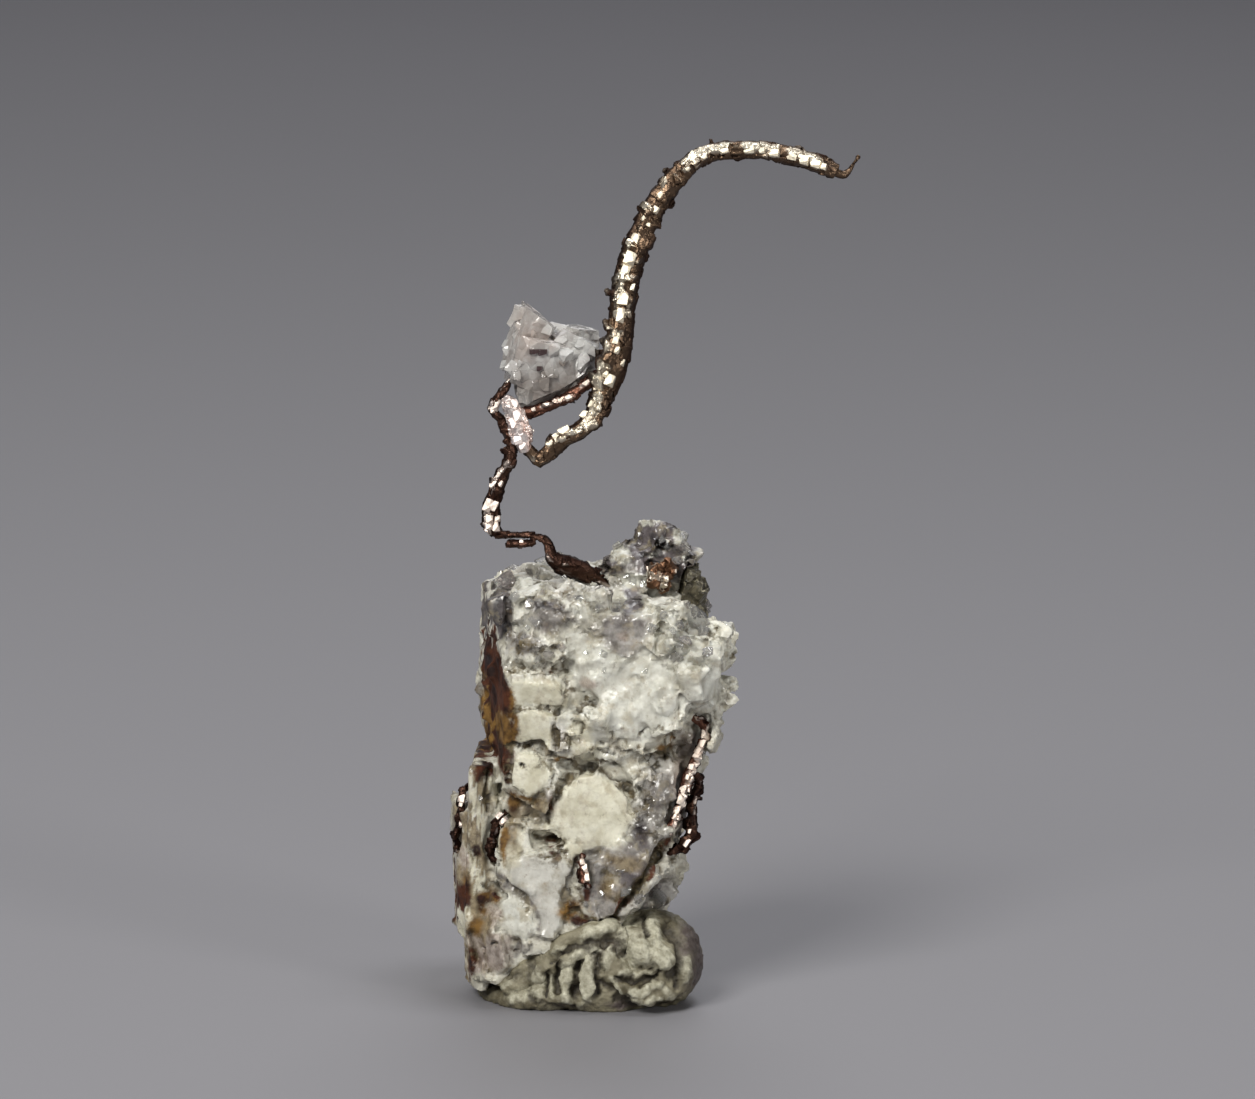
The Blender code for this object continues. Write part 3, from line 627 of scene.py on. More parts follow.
def drawIn(obj, low):
    points = pointsOf(obj.data)
    top, blend = drawnSide["top"], drawnSide["blend"]
    between = smoothStep(low - blend, low + blend, points[:, 2])
    between *= smoothStep(top + blend, top - blend, points[:, 2])
    beyond = np.maximum(points[:, 0] - drawnSide["start"], 0)
    points[:, 0] -= beyond * (1 - drawnSide["share"]) * between
    setPoints(obj.data, points)


def finishPiece(obj, name, material, replaced=(), smooth=True):
    obj.name = name
    obj.data.name = name
    obj.data.materials.clear()
    obj.data.materials.append(material)
    pick(obj)
    if smooth:
        bpy.ops.object.shade_smooth()
    else:
        bpy.ops.object.shade_flat()
    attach(obj, "root")
    if replaced:
        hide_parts(*replaced)
    print("  piece", name, len(obj.data.polygons), "faces")


# quartz matrix: the milky column, with its seams, flats, stains and sugary grains

quartzLook = {
    "voxel": 0.148,
    "lumpSize": 2.4,
    "lumpRise": 0.14,
    # facets of the surface in two sizes, and how far each tilts
    "facetSize": 1.5,
    "facetRise": 0.16,
    "fineSize": 0.55,
    "fineRise": 0.055,
    # side looked at, count, range across, range in height, half sizes, how deep each sits, how far it leans
    "grains": (
        (front, 3, (-1.0, 0.6), (24.9, 26.2), (0.55, 0.75), 0.2, 40),
        (front, 26, (-2.0, 6.2), (16.4, 22.8), (0.35, 0.8), 0.78, 20),
        (front, 10, (-6.0, -1.6), (20.2, 21.6), (0.25, 0.45), 0.45, 50),
        (front, 14, (-6.4, 2.0), (22.0, 24.2), (0.4, 0.75), 0.55, 45),
        (front, 14, (-3.0, 1.2), (13.8, 18.4), (0.2, 0.42), 0.6, 40),
        (front, 14, (1.8, 4.4), (9.4, 14.4), (0.35, 0.65), 0.55, 45),
        (front, 12, (-1.0, 2.2), (5.8, 9.2), (0.22, 0.42), 0.5, 50),
        (right, 60, (-3.2, 4.8), (8.0, 23.4), (0.35, 0.75), 0.5, 50),
        (left, 30, (-3.0, 4.8), (12.0, 22.5), (0.25, 0.6), 0.6, 25),
        (back, 100, (-6.6, 5.8), (3.0, 23.4), (0.35, 0.8), 0.45, 60),
    ),
    # rounds of smoothing where the stone is worn or milky, and the share of the relief that stays there
    "wearRounds": 14,
    "wornShare": 0.3,
    # the right side is drawn in from this height up
    "drawnFrom": 22.8,
    # white blocks under the right shoulder and on the knob: centre, half sizes and turns
    "whiteBlocks": (
        ((0.78, -0.85, 25.7), (0.52, 0.9, 0.44), (-22, 6, -16)),
        ((1.45, -1.95, 24.6), (0.75, 0.6, 0.38), (-24, -5, -12)),
        ((5.25, -4.1, 18.55), (0.8, 1.0, 0.75), (-14, 4, -14)),
        ((5.55, -4.0, 17.75), (0.65, 0.9, 0.5), (-20, -8, -10)),
    ),
    # cracks between rough cells: cell size, half width, depth, dirt, seed
    "cracks": ((2.0, 0.12, 0.2, 0.45, 71), (1.0, 0.08, 0.07, 0.2, 75)),
    # outlines pressed flat: how flat, how far the flat stands proud, and how much of its slant it keeps
    "flats": {
        "upperRight": (0.6, 0.1, 0.5), "dome": (0.75, 0.1, 1), "upperStep": (0.9, 0.14, 1),
        "lowerStep": (0.9, 0.12, 1), "whitePoint": (0.8, 0.14, 1), "wideSlab": (0.85, 0.2, 1),
        "lowSlab": (0.85, 0.24, 1), "whiteTriangle": (0.8, 0.15, 1), "violetFace": (0.5, 0.05, 1),
        "sideFacet": (0.8, 0.12, 1), "lobe": (0.35, 0.1, 1), "leftRim": (0.6, 0.0, 1),
        "rimBrown": (0.6, 0.05, 1), "knobSlope": (0.85, 0.0, 1), "knobBlock": (0.7, 0.15, 1),
        "foot": (0.5, 0.05, 1), "rimWhite": (0.5, 0.05, 1),
    },
    # the left flank stands out by this much
    "flankBulge": 0.32,
    # edges sharper than this many degrees stay sharp
    "sharpAngle": 34,
}

# outlines on the front, as x, z corners in order
patches = {
    "dome": (
        (-3.5, 10.3), (-3.0, 11.98), (-2.32, 12.9), (-1.6, 13.55), (-0.94, 13.8), (-0.11, 13.6),
        (0.8, 13.05), (1.5, 12.25), (1.66, 11.42), (1.35, 10.5), (0.6, 9.85), (-0.4, 9.4), (-1.5, 9.05),
        (-2.2, 9.3), (-2.7, 9.9),
    ),
    "upperStep": (
        (-5.52, 19.26), (-4.2, 19.21), (-2.88, 19.08), (-2.2, 18.34), (-2.35, 17.67), (-3.34, 17.65),
        (-4.66, 17.61), (-5.32, 17.52),
    ),
    "lowerStep": (
        (-5.23, 17.18), (-4.16, 17.38), (-3.0, 17.15), (-2.96, 15.32), (-4.12, 15.46), (-5.43, 15.34),
        (-5.04, 16.27),
    ),
    "whitePoint": (
        (-5.5, 14.59), (-4.6, 15.03), (-3.77, 14.8), (-3.01, 13.81), (-3.72, 12.8), (-4.37, 12.36),
        (-5.04, 12.6), (-5.39, 13.42),
    ),
    "wideSlab": (
        (-5.44, 8.75), (-3.96, 8.95), (-2.48, 8.82), (-1.65, 8.5), (-1.95, 7.33), (-2.25, 5.99),
        (-2.22, 4.98), (-2.86, 4.13), (-3.69, 4.45), (-3.8, 5.45), (-4.4, 6.6), (-5.24, 7.25),
    ),
    "lowSlab": (
        (-5.88, 6.4), (-4.9, 6.51), (-4.06, 5.77), (-3.78, 4.78), (-4.18, 4.1), (-5.17, 4.25), (-5.6, 4.9),
    ),
    "foot": ((-7.81, 4.25), (-6.43, 4.48), (-5.24, 4.11), (-5.2, 2.6), (-5.94, 1.8), (-7.68, 1.8)),
    "footHollow": ((-5.17, 4.08), (-4.18, 3.94), (-4.0, 3.44), (-4.65, 3.09), (-5.14, 2.74)),
    "whiteTriangle": (
        (-1.26, 16.69), (-0.7, 17.38), (-0.18, 16.55), (0.17, 15.73), (-0.66, 15.62), (-1.32, 15.69),
    ),
    "sugarField": (
        (-2.62, 21.6), (-0.98, 21.6), (0.21, 20.7), (1.87, 20.2), (2.85, 20.63), (4.03, 19.83),
        (4.07, 17.82), (2.96, 16.13), (1.99, 15.44), (0.66, 15.91), (-0.37, 17.38), (-1.72, 18.69),
        (-2.58, 20.17),
    ),
    "upperRight": ((2.6, 20.6), (2.8, 22.6), (6.0, 22.4), (6.8, 21.0), (6.4, 20.4), (4.2, 19.9)),
    "rightShoulder": ((4.3, 19.6), (6.3, 20.4), (6.7, 18.9), (6.2, 17.5), (4.3, 17.2)),
    "sideFacet": ((2.86, 13.29), (3.84, 13.81), (4.18, 13.48), (3.54, 12.3), (2.73, 11.78)),
    "lobe": (
        (-1.17, 9.35), (0.47, 9.56), (2.11, 10.1), (3.12, 9.45), (2.81, 8.44), (2.01, 7.42), (1.21, 6.4),
        (0.9, 5.56), (-0.08, 5.2), (-0.92, 5.68), (-1.44, 6.84), (-0.64, 7.86),
    ),
    "flankRust": (
        (-6.6, 20.8), (-5.9, 20.1), (-5.6, 18.93), (-5.45, 17.7), (-6.31, 17.0), (-8.2, 17.2), (-8.2, 20.6),
    ),
    "flankOchre": (
        (-8.2, 17.8), (-5.45, 18.6), (-4.95, 17.3), (-5.05, 16.2), (-5.45, 15.1), (-6.58, 14.8),
        (-8.2, 15.2),
    ),
    "flankMaroon": ((-7.6, 15.4), (-5.6, 15.2), (-5.35, 14.6), (-5.85, 13.5), (-7.2, 13.1)),
    "violetFace": (
        (-0.49, 22.72), (1.81, 23.11), (2.33, 21.96), (1.69, 20.94), (0.21, 21.07), (-0.47, 21.89),
    ),
    "leftSlabs": (
        (-9.2, 15.4), (-6.85, 15.4), (-6.5, 11.5), (-6.5, 7.4), (-5.9, 4.8), (-7.8, 1.6), (-9.2, 1.6),
    ),
    "sliver": ((-7.62, 14.8), (-6.95, 15.1), (-6.85, 12.9), (-7.05, 12.0), (-7.65, 12.1)),
    "slabLens": ((-7.63, 10.97), (-6.99, 11.24), (-6.76, 10.59), (-6.91, 9.99), (-7.55, 10.02)),
    "creamStreak": (
        (-8.0, 10.8), (-7.62, 10.44), (-7.63, 9.04), (-7.7, 7.44), (-8.18, 7.02), (-8.35, 8.02),
        (-8.13, 9.23),
    ),
    "brownStreak": ((-7.55, 9.67), (-7.2, 9.48), (-7.15, 8.5), (-7.47, 8.4)),
    "paleStreak": ((-7.1, 9.61), (-6.55, 9.43), (-6.5, 7.22), (-6.99, 7.21)),
    "lowRust": ((-9.2, 7.1), (-7.7, 7.26), (-7.71, 6.0), (-7.94, 4.99), (-9.2, 4.6)),
    "oliveCream": (
        (-7.74, 7.13), (-7.34, 7.04), (-7.19, 5.14), (-7.42, 4.13), (-7.82, 4.32), (-7.94, 5.12),
    ),
    "olivePatch": (
        (-7.37, 6.53), (-6.49, 6.85), (-5.94, 6.67), (-6.08, 6.16), (-6.96, 5.64), (-7.31, 6.03),
    ),
    "brownPatch": ((-7.39, 4.93), (-6.74, 4.84), (-6.82, 4.24), (-7.37, 4.23)),
    "warmPatch": (
        (-5.79, 10.89), (-4.7, 10.82), (-4.48, 9.82), (-4.74, 8.31), (-5.73, 8.19), (-5.95, 9.29),
    ),
    "leftRim": ((-7.9, 24.1), (-5.77, 24.72), (-5.62, 23.63), (-5.65, 22.35), (-5.69, 21.2), (-7.9, 21.05)),
    "rimWhite": (
        (-5.52, 24.88), (-4.62, 24.39), (-3.87, 24.67), (-3.91, 23.77), (-4.47, 23.37), (-4.83, 22.46),
        (-5.47, 22.7), (-5.18, 23.74),
    ),
    "rimBand": ((-4.6, 23.49), (-2.44, 23.42), (-2.43, 23.03), (-4.21, 22.99)),
    # a patch on the rim painted white where a glint shows: a painted highlight
    "rimPaintedGlint": ((-2.01, 23.96), (-1.06, 23.98), (-1.04, 22.89), (-1.99, 22.8)),
    "rimBrown": ((0.83, 24.54), (1.97, 24.44), (1.87, 23.28), (1.12, 22.62), (0.72, 23.51)),
    "slabBand": (
        (-6.2, 8.0), (-5.2, 7.5), (-4.25, 6.8), (-3.7, 5.95), (-3.4, 4.95), (-3.7, 4.4), (-3.95, 5.3),
        (-4.35, 5.95), (-5.0, 6.5), (-6.0, 6.9),
    ),
    "knobBody": (
        (-1.2, 24.6), (-1.2, 25.5), (0.0, 26.8), (1.3, 27.6), (4.8, 27.6), (5.0, 24.8), (3.2, 24.0),
        (2.4, 24.1), (1.2, 25.3), (-0.2, 24.6),
    ),
    "knobSlope": (
        (-1.2, 25.53), (0.01, 26.7), (1.26, 27.5), (1.47, 26.48), (0.65, 26.08), (-0.1, 25.55),
        (-0.2, 24.65), (-1.2, 24.6),
    ),
    "knobWhite": ((-0.1, 25.55), (1.03, 26.09), (1.24, 25.32), (0.68, 24.67), (0.05, 24.91)),
    "knobBlock": ((0.56, 24.84), (1.57, 24.74), (2.34, 24.56), (2.22, 23.92), (1.08, 24.21)),
}
# the patches that each mask takes
patchMasks = {
    "cream": ("dome", "upperStep", "lowerStep", "whitePoint", "creamStreak", "oliveCream", "warmPatch"),
    "white": (
        "wideSlab", "lowSlab", "whiteTriangle", "rightShoulder", "sugarField", "sliver", "paleStreak",
        # the rim's bright patch in this list is a painted highlight
        "rimWhite", "rimPaintedGlint",
    ),
    "glass": ("violetFace", "slabLens", "sideFacet"),
    "haze": ("slabBand", "knobBody", "lobe", "footHollow"),
    "dusk": ("leftRim", "rimBand", "rimBrown", "knobSlope", "knobBody"),
    "rust": ("flankRust", "flankMaroon", "lowRust", "brownStreak"),
    "ochre": ("flankOchre", "olivePatch", "brownPatch"),
    "pink": ("foot",),
    "shade": ("wideSlab", "foot", "sideFacet", "violetFace"),
}
# patches worn smooth fully, mostly and a little: how smooth, how soft their edge is, and which
wornPatches = (
    (1.0, 0.3, (
        "dome", "upperStep", "lowerStep", "whitePoint", "wideSlab", "lowSlab", "foot", "whiteTriangle")),
    (0.8, 0.8, (
        "leftSlabs", "flankRust", "flankOchre", "lobe", "sideFacet", "leftRim", "knobSlope", "violetFace")),
    (0.7, 0.8, ("sugarField", "rightShoulder", "rimWhite", "rimBrown", "knobWhite", "knobBlock")),
)

# seams pressed into the front: x, z along each, half width, depth, how dark its dirt is, how unbroken it is
seams = (
    (((-3.31, 10.75), (-2.96, 12.05), (-2.41, 12.95), (-1.76, 13.65), (-1.11, 13.98), (-0.28, 13.9),
        (0.64, 13.32), (1.31, 12.72), (1.9, 12.18)), 0.12, 0.22, 0.8, 0.7),
    (((0.95, 12.95), (1.49, 12.08), (1.62, 11.25), (1.27, 10.58)), 0.11, 0.12, 0.4, 0.6),
    (((3.45, 9.7), (3.2, 9.25), (2.85, 8.61), (2.17, 7.59), (1.37, 6.57), (0.98, 5.66),
        (0.57, 5.25)), 0.22, 0.6, 1.0, 1.0),
    (((-1.26, 6.01), (-0.75, 5.35), (-0.08, 5.12), (0.9, 5.31)), 0.16, 0.3, 0.95, 0.8),
    (((-6.08, 7.56), (-5.24, 7.08), (-4.4, 6.6), (-3.89, 5.95), (-3.62, 4.95)), 0.32, 0.34, 0.1, 1.0),
    (((-5.62, 19.68), (-4.71, 19.78), (-3.72, 19.56), (-2.89, 19.66)), 0.13, 0.28, 0.8, 0.4),
    (((-5.23, 17.27), (-4.66, 17.53), (-4.0, 17.5), (-3.34, 17.56), (-2.92, 17.24)), 0.11, 0.24, 0.8, 0.6),
    (((-5.7, 15.2), (-4.61, 15.28), (-3.87, 15.38), (-2.95, 14.82)), 0.14, 0.28, 1.0, 0.6),
    (((-2.3, 18.84), (-2.6, 17.66), (-2.86, 16.66), (-2.96, 15.32)), 0.14, 0.26, 0.8, 0.3),
    (((-3.87, 15.38), (-2.94, 14.65), (-2.11, 14.5), (-1.61, 14.01), (-0.62, 14.12),
        (-0.13, 14.38)), 0.16, 0.24, 1.0, 0.4),
    (((0.1, 15.7), (0.5, 15.3), (1.01, 14.91), (1.99, 15.27)), 0.12, 0.2, 0.7, 0.2),
    (((1.81, 15.93), (2.3, 16.28), (3.11, 16.63)), 0.1, 0.2, 0.8, 0.6),
    (((2.34, 14.61), (3.32, 14.63), (4.14, 14.99)), 0.26, 0.36, 0.95, 0.3),
    (((3.95, 17.4), (3.85, 16.7), (3.4, 15.6), (3.55, 14.9)), 0.17, 0.22, 0.6, 0.3),
    (((-3.1, 14.31), (-2.92, 13.65), (-3.56, 12.63), (-4.04, 12.12),
        (-4.69, 11.77)), 0.14, 0.22, 0.75, 0.4),
    (((-5.45, 14.9), (-5.5, 13.6), (-5.2, 12.7), (-4.6, 12.2)), 0.13, 0.2, 0.65, 0.4),
    (((-6.75, 13.4), (-6.68, 12.3), (-6.66, 11.39)), 0.14, 0.3, 0.95, 0.8),
    (((-6.1, 9.6), (-6.03, 9.07), (-6.08, 7.56)), 0.12, 0.24, 0.6, 0.4),
    (((-3.9, 9.95), (-3.2, 9.65), (-2.2, 9.75)), 0.16, 0.26, 1.0, 0.5),
    (((-3.6, 8.95), (-2.7, 8.9), (-2.1, 9.1)), 0.14, 0.22, 0.8, 0.3),
    (((-1.5, 8.9), (-1.9, 7.9), (-2.0, 7.0), (-2.3, 6.0)), 0.16, 0.2, 0.6, 0.2),
    (((-7.62, 11.9), (-7.66, 10.4), (-7.6, 8.4), (-7.66, 7.2)), 0.09, 0.16, 0.6, 0.5),
    (((-7.2, 9.9), (-7.12, 8.3), (-7.25, 7.0), (-7.1, 5.0)), 0.09, 0.12, 0.45, 0.4),
    (((1.6, 22.9), (2.9, 22.5), (4.6, 21.7), (5.9, 21.5)), 0.12, 0.14, 0.25, 0.3),
    (((-2.5, 22.4), (-2.2, 21.0), (-2.5, 19.8), (-2.3, 18.8)), 0.13, 0.16, 0.5, 0.2),
    (((-1.9, 16.9), (-1.5, 17.4), (-1.1, 17.9), (-0.6, 17.6)), 0.1, 0.16, 0.85, 0.4),
    (((-1.5, 15.6), (-1.4, 16.4), (-1.9, 16.9)), 0.1, 0.14, 0.65, 0.3),
    (((-2.4, 16.2), (-1.9, 15.5), (-2.1, 14.9)), 0.12, 0.16, 0.65, 0.3),
    (((2.0, 10.4), (2.5, 11.4), (2.6, 12.2)), 0.12, 0.18, 0.4, 0.3),
    (((1.9, 12.18), (2.4, 12.5), (2.9, 13.6)), 0.12, 0.18, 0.45, 0.3),
    (((4.3, 18.0), (5.3, 17.7), (6.3, 18.2)), 0.12, 0.16, 0.35, 0.4),
    (((-5.66, 24.3), (-5.6, 23.0), (-5.66, 21.4)), 0.1, 0.2, 0.35, 0.6),
)

# seams filled with maroon dirt, in the same way
maroonSeams = (
    (((3.6, 9.9), (3.2, 9.25), (2.85, 8.61), (2.17, 7.59), (1.37, 6.57), (0.98, 5.66),
        (0.4, 5.1)), 0.17, 0, 1.0, 1.0),
    (((-1.4, 5.5), (-0.75, 5.25), (-0.08, 5.05), (0.9, 5.2)), 0.12, 0, 0.9, 1.0),
)

# pale blocks and streaks on the dusky knob, as x, z, half width, half height
knobPale = (
    (0.56, 25.8, 0.58, 0.42), (1.46, 24.45, 0.9, 0.42), (1.85, 27.4, 0.5, 0.15), (2.67, 27.7, 0.26, 0.2),
    (2.38, 25.75, 0.38, 0.1), (2.2, 24.74, 0.2, 0.3), (3.9, 26.8, 0.35, 0.45), (4.3, 25.9, 0.25, 0.4),
)

# dark pits, pressed in and painted near black with the shade inside them, in the same way
pits = (
    (2.98, 26.3, 0.5, 0.33), (1.98, 25.84, 0.36, 0.13), (2.34, 25.4, 0.28, 0.12), (2.42, 24.16, 0.28, 0.2),
    (-4.8, 14.24, 0.11, 0.13), (-6.12, 3.79, 0.13, 0.14), (-6.75, 3.27, 0.1, 0.09), (4.5, 25.5, 0.16, 0.4),
    (-0.3, 24.95, 0.4, 0.14), (-2.9, 9.75, 0.35, 0.12), (-0.55, 5.15, 0.3, 0.14), (0.55, 5.3, 0.3, 0.2),
)

# stains on the front, as x, z, half width, half height
spotMasks = {
    "cream": ((-1.6, 16.2, 0.7, 1.0), (-1.0, 14.9, 0.9, 0.5)),
    "haze": (
        (-3.0, 22.6, 1.6, 0.7), (-4.9, 21.3, 0.9, 0.5), (1.0, 22.6, 1.2, 0.6), (2.6, 12.4, 0.5, 0.9),
        (-2.9, 7.7, 0.7, 0.5), (-4.6, 8.3, 0.6, 0.3), (-6.6, 3.1, 0.5, 0.5),
    ),
    "white": (
        (-1.6, 16.9, 1.0, 0.9), (-0.6, 18.2, 0.9, 0.7), (0.6, 14.6, 0.8, 0.5), (-2.4, 14.2, 0.5, 0.3),
        (4.2, 21.2, 2.0, 1.2), (2.4, 23.2, 1.6, 0.5), (5.3, 18.3, 0.9, 0.8),
    ),
    "umber": (
        (-7.0, 14.7, 1.0, 0.6), (-5.2, 10.4, 0.4, 1.4), (-3.8, 11.8, 0.7, 0.9), (-4.6, 11.6, 0.8, 0.5),
        (1.2, 8.7, 1.1, 0.5), (0.3, 7.2, 0.5, 0.7), (1.1, 6.8, 0.4, 0.5),
    ),
    "shade": (
        (4.0, 12.6, 1.2, 2.2), (-8.2, 10.0, 0.5, 3.5), (4.6, 15.2, 0.8, 1.0), (-3.5, 22.6, 1.5, 0.7),
        (-0.6, 22.5, 0.9, 0.5), (-6.7, 22.6, 0.6, 1.2),
    ),
    "rust": (
        (-5.9, 14.1, 0.55, 0.8), (-7.3, 2.3, 0.3, 0.8), (-2.85, 9.75, 0.45, 0.22), (-2.9, 9.1, 0.3, 0.25),
        (-1.35, 5.4, 0.35, 0.3), (-3.1, 11.9, 0.2, 0.6), (-1.55, 8.8, 0.3, 0.45), (-5.45, 13.2, 0.3, 0.3),
        (-0.95, 6.8, 0.25, 0.5), (-7.3, 8.9, 0.2, 0.4), (-3.2, 19.55, 0.45, 0.15), (-7.0, 6.3, 0.25, 0.2),
        (-6.3, 6.5, 0.22, 0.16),
    ),
    "ochre": (
        (-5.2, 11.9, 0.35, 0.7), (3.3, 15.0, 0.5, 0.3), (3.8, 15.9, 0.15, 0.6), (-4.5, 12.2, 0.5, 0.2),
        (-1.9, 6.0, 0.45, 0.6), (-2.3, 14.6, 0.4, 0.25), (-7.9, 6.9, 0.3, 0.8), (-5.6, 9.6, 0.2, 1.2),
        (-6.9, 5.6, 0.4, 0.4), (-7.2, 4.6, 0.4, 0.5),
    ),
    "glass": (
        (-4.7, 21.1, 1.0, 0.55), (0.6, 7.1, 1.8, 2.1), (3.2, 13.0, 1.1, 1.4), (2.6, 10.6, 1.0, 2.0),
        (0.6, 21.6, 1.6, 1.0), (3.2, 6.2, 1.4, 1.5), (-3.3, 12.5, 0.4, 0.4), (-2.4, 15.9, 0.5, 0.8),
    ),
    "dusk": (
        (2.2, 10.2, 0.5, 1.0), (1.6, 8.2, 0.6, 1.2), (1.9, 25.9, 0.7, 0.6), (2.6, 26.8, 0.8, 0.4),
        (0.2, 26.3, 0.8, 0.5),
    ),
    "pink": (
        (-6.3, 5.4, 0.4, 0.8), (4.6, 13.6, 0.7, 2.4), (-1.0, 18.9, 0.5, 0.35), (-5.6, 14.6, 0.3, 0.25),
        (0.8, 21.8, 0.4, 0.3), (4.6, 11.4, 0.5, 1.4), (-8.0, 8.6, 0.25, 1.2),
    ),
    "grime": (
        (-4.8, 14.24, 0.14, 0.17), (3.1, 14.75, 0.55, 0.28), (-1.6, 17.5, 0.14, 0.18),
        (-1.1, 18.0, 0.22, 0.12), (-2.0, 18.5, 0.22, 0.12), (-4.9, 21.0, 0.45, 0.22),
        (-3.9, 20.7, 0.25, 0.18), (-3.0, 21.2, 0.25, 0.25), (-2.6, 20.4, 0.22, 0.3),
        (-2.85, 9.15, 0.2, 0.16), (-2.1, 6.8, 0.3, 0.5), (-6.12, 3.79, 0.15, 0.16),
        (-6.75, 3.27, 0.14, 0.12), (-7.23, 2.76, 0.13, 0.12), (-0.4, 14.0, 0.16, 0.14),
        (1.2, 13.1, 0.35, 0.18), (-1.9, 14.2, 0.3, 0.2), (-5.7, 14.2, 0.2, 0.2), (2.98, 26.3, 0.55, 0.36),
        (1.98, 25.84, 0.36, 0.14), (2.34, 25.4, 0.3, 0.13), (2.42, 24.16, 0.32, 0.24),
        (-4.4, 5.6, 0.1, 0.1),
    ),
    "dirty": (
        (-4.2, 20.6, 1.8, 0.9), (-2.4, 18.6, 0.35, 0.5), (-4.2, 12.0, 1.4, 1.0), (3.0, 14.7, 1.1, 0.4),
        (-2.6, 9.2, 1.2, 0.9), (-1.4, 6.4, 0.9, 1.4), (-6.8, 6.4, 0.8, 1.0), (1.0, 7.6, 1.5, 1.6),
        (-3.4, 14.6, 1.4, 0.5),
    ),
}
# balls strewn over the sides and back: how many, least and greatest radius, seed
ballMasks = {
    "haze": (10, (1.0, 2.2), 16), "cream": (14, (1.4, 2.8), 7), "white": (12, (1.4, 2.6), 11),
    "rust": (9, (0.7, 1.5), 5), "ochre": (12, (0.9, 2.0), 6), "glass": (10, (1.0, 2.4), 8),
    "dusk": (6, (0.9, 1.8), 12), "dirty": (8, (1.5, 3.0), 9), "pink": (4, (0.8, 1.5), 13),
    "grime": (6, (0.4, 0.9), 14), "umber": (8, (0.8, 1.6), 15), "shade": (12, (1.0, 2.4), 17),
}


def wobbled(points, reach, size, seed):
    # points pushed about by soft waves, so that a mask drawn with straight lines gets a natural edge
    chance = np.random.default_rng(seed)
    moved = points.copy()
    for axis in range(3):
        for octave in range(5):
            wave = chance.normal(size=3)
            wave *= 2 * math.pi * 1.7 ** octave / (size * np.linalg.norm(wave))
            moved[:, axis] += reach * 0.62 ** octave * np.sin(points @ wave + chance.uniform(0, 6.3))
    return moved


def softNoise(points, size, seed):
    # soft waves between 0 and 1
    return np.clip(0.5 + (wobbled(points, 1.0, size, seed) - points)[:, 0] * 0.45, 0, 1)


def awayFromStops(points, stops):
    # distance in the front view from each point to a line through x, z stops
    flat = points[:, [0, 2]]
    away = np.full(len(points), np.inf)
    for start, end in zip(np.array(stops, float), np.array(stops[1:], float)):
        run = end - start
        share = np.clip(((flat - start) @ run) / (run @ run), 0, 1)
        away = np.minimum(away, np.linalg.norm(flat - start - share[:, None] * run, axis=1))
    return away


def insideOutlines(points, outlines, soft=0.3):
    # 1 well inside any outline, a half on its edge and 0 outside
    mask = np.zeros(len(points))
    for outline in outlines:
        inside = np.zeros(len(points), bool)
        for (x0, z0), (x1, z1) in zip(outline, outline[1:] + outline[:1]):
            spans = (points[:, 2] > z0) != (points[:, 2] > z1)
            reach = x0 + (points[:, 2] - z0) * (x1 - x0) / ((z1 - z0) or 1e-9)
            inside ^= spans & (points[:, 0] < reach)
        away = awayFromStops(points, outline + outline[:1])
        mask = np.maximum(mask, np.clip(0.5 + np.where(inside, away, -away) / soft, 0, 1))
    return mask


def softSpots(points, spots):
    # 1 well inside each ellipse, a half on its edge and 0 outside
    mask = np.zeros(len(points))
    for x, z, wide, tall in spots:
        reach = np.hypot((points[:, 0] - x) / wide, (points[:, 2] - z) / tall)
        mask = np.maximum(mask, np.clip(1.5 - reach, 0, 1))
    return mask


def softBalls(points, count, halfRange, seed):
    # the same for balls strewn over the sides and back
    chance = random.Random(seed)
    mask = np.zeros(len(points))
    for _ in range(count):
        centre = (chance.uniform(-8, 7), chance.uniform(-2.5, 6.5), chance.uniform(2, 26))
        reach = np.linalg.norm(points - centre, axis=1) / chance.uniform(*halfRange)
        mask = np.maximum(mask, np.clip(1.5 - reach, 0, 1))
    return mask


def smoothedPoints(obj, rounds):
    smooth = obj.copy()
    smooth.data = obj.data.copy()
    bpy.context.scene.collection.objects.link(smooth)
    applyModifier(smooth, "SMOOTH", factor=0.5, iterations=rounds)
    points = pointsOf(smooth.data)
    bpy.data.objects.remove(smooth)
    return points


def cavityOf(obj, rounds, scale):
    # a half on flat stone, near 1 in hollows and near 0 on crests
    offset = smoothedPoints(obj, rounds) - pointsOf(obj.data)
    depth = (offset * normalsOf(obj.data)).sum(axis=1)
    return np.clip(0.5 + depth / scale, 0, 1)


def makeLumpy(obj, size, rise):
    # a cloud texture pushes the surface along its normals
    texture = bpy.data.textures.new("relief", "CLOUDS")
    texture.noise_scale = size * mm
    values = {"texture": texture, "texture_coords": "LOCAL", "strength": rise * mm, "mid_level": 0.5}
    applyModifier(obj, "DISPLACE", **values)


def keepInside(obj, inset=0.01):
    # nothing reaches past the solids' own box
    low, high = (np.array(corner) / mm for corner in cadBox)
    setPoints(obj.data, np.clip(pointsOf(obj.data), low + inset, high - inset))


def onFront(points):
    # the front, with the left flank and the knob as far back as they can be seen
    reach = (1.5 + 2.0 * softNoise(points, 2.0, seed=66)) * smoothStep(-5.2, -6.4, points[:, 0])
    reach += 7.0 * smoothStep(24.2, 25.2, points[:, 2])
    return smoothStep(0.5, -1.5, points[:, 1] - reach)


def wornPlaces(points):
    # 1 where the stone is smooth, 0 where it is sugary
    worn = np.zeros(len(points))
    for share, soft, names in wornPatches:
        worn = np.maximum(worn, share * insideOutlines(points, [patches[name] for name in names], soft))
    return worn * onFront(points)


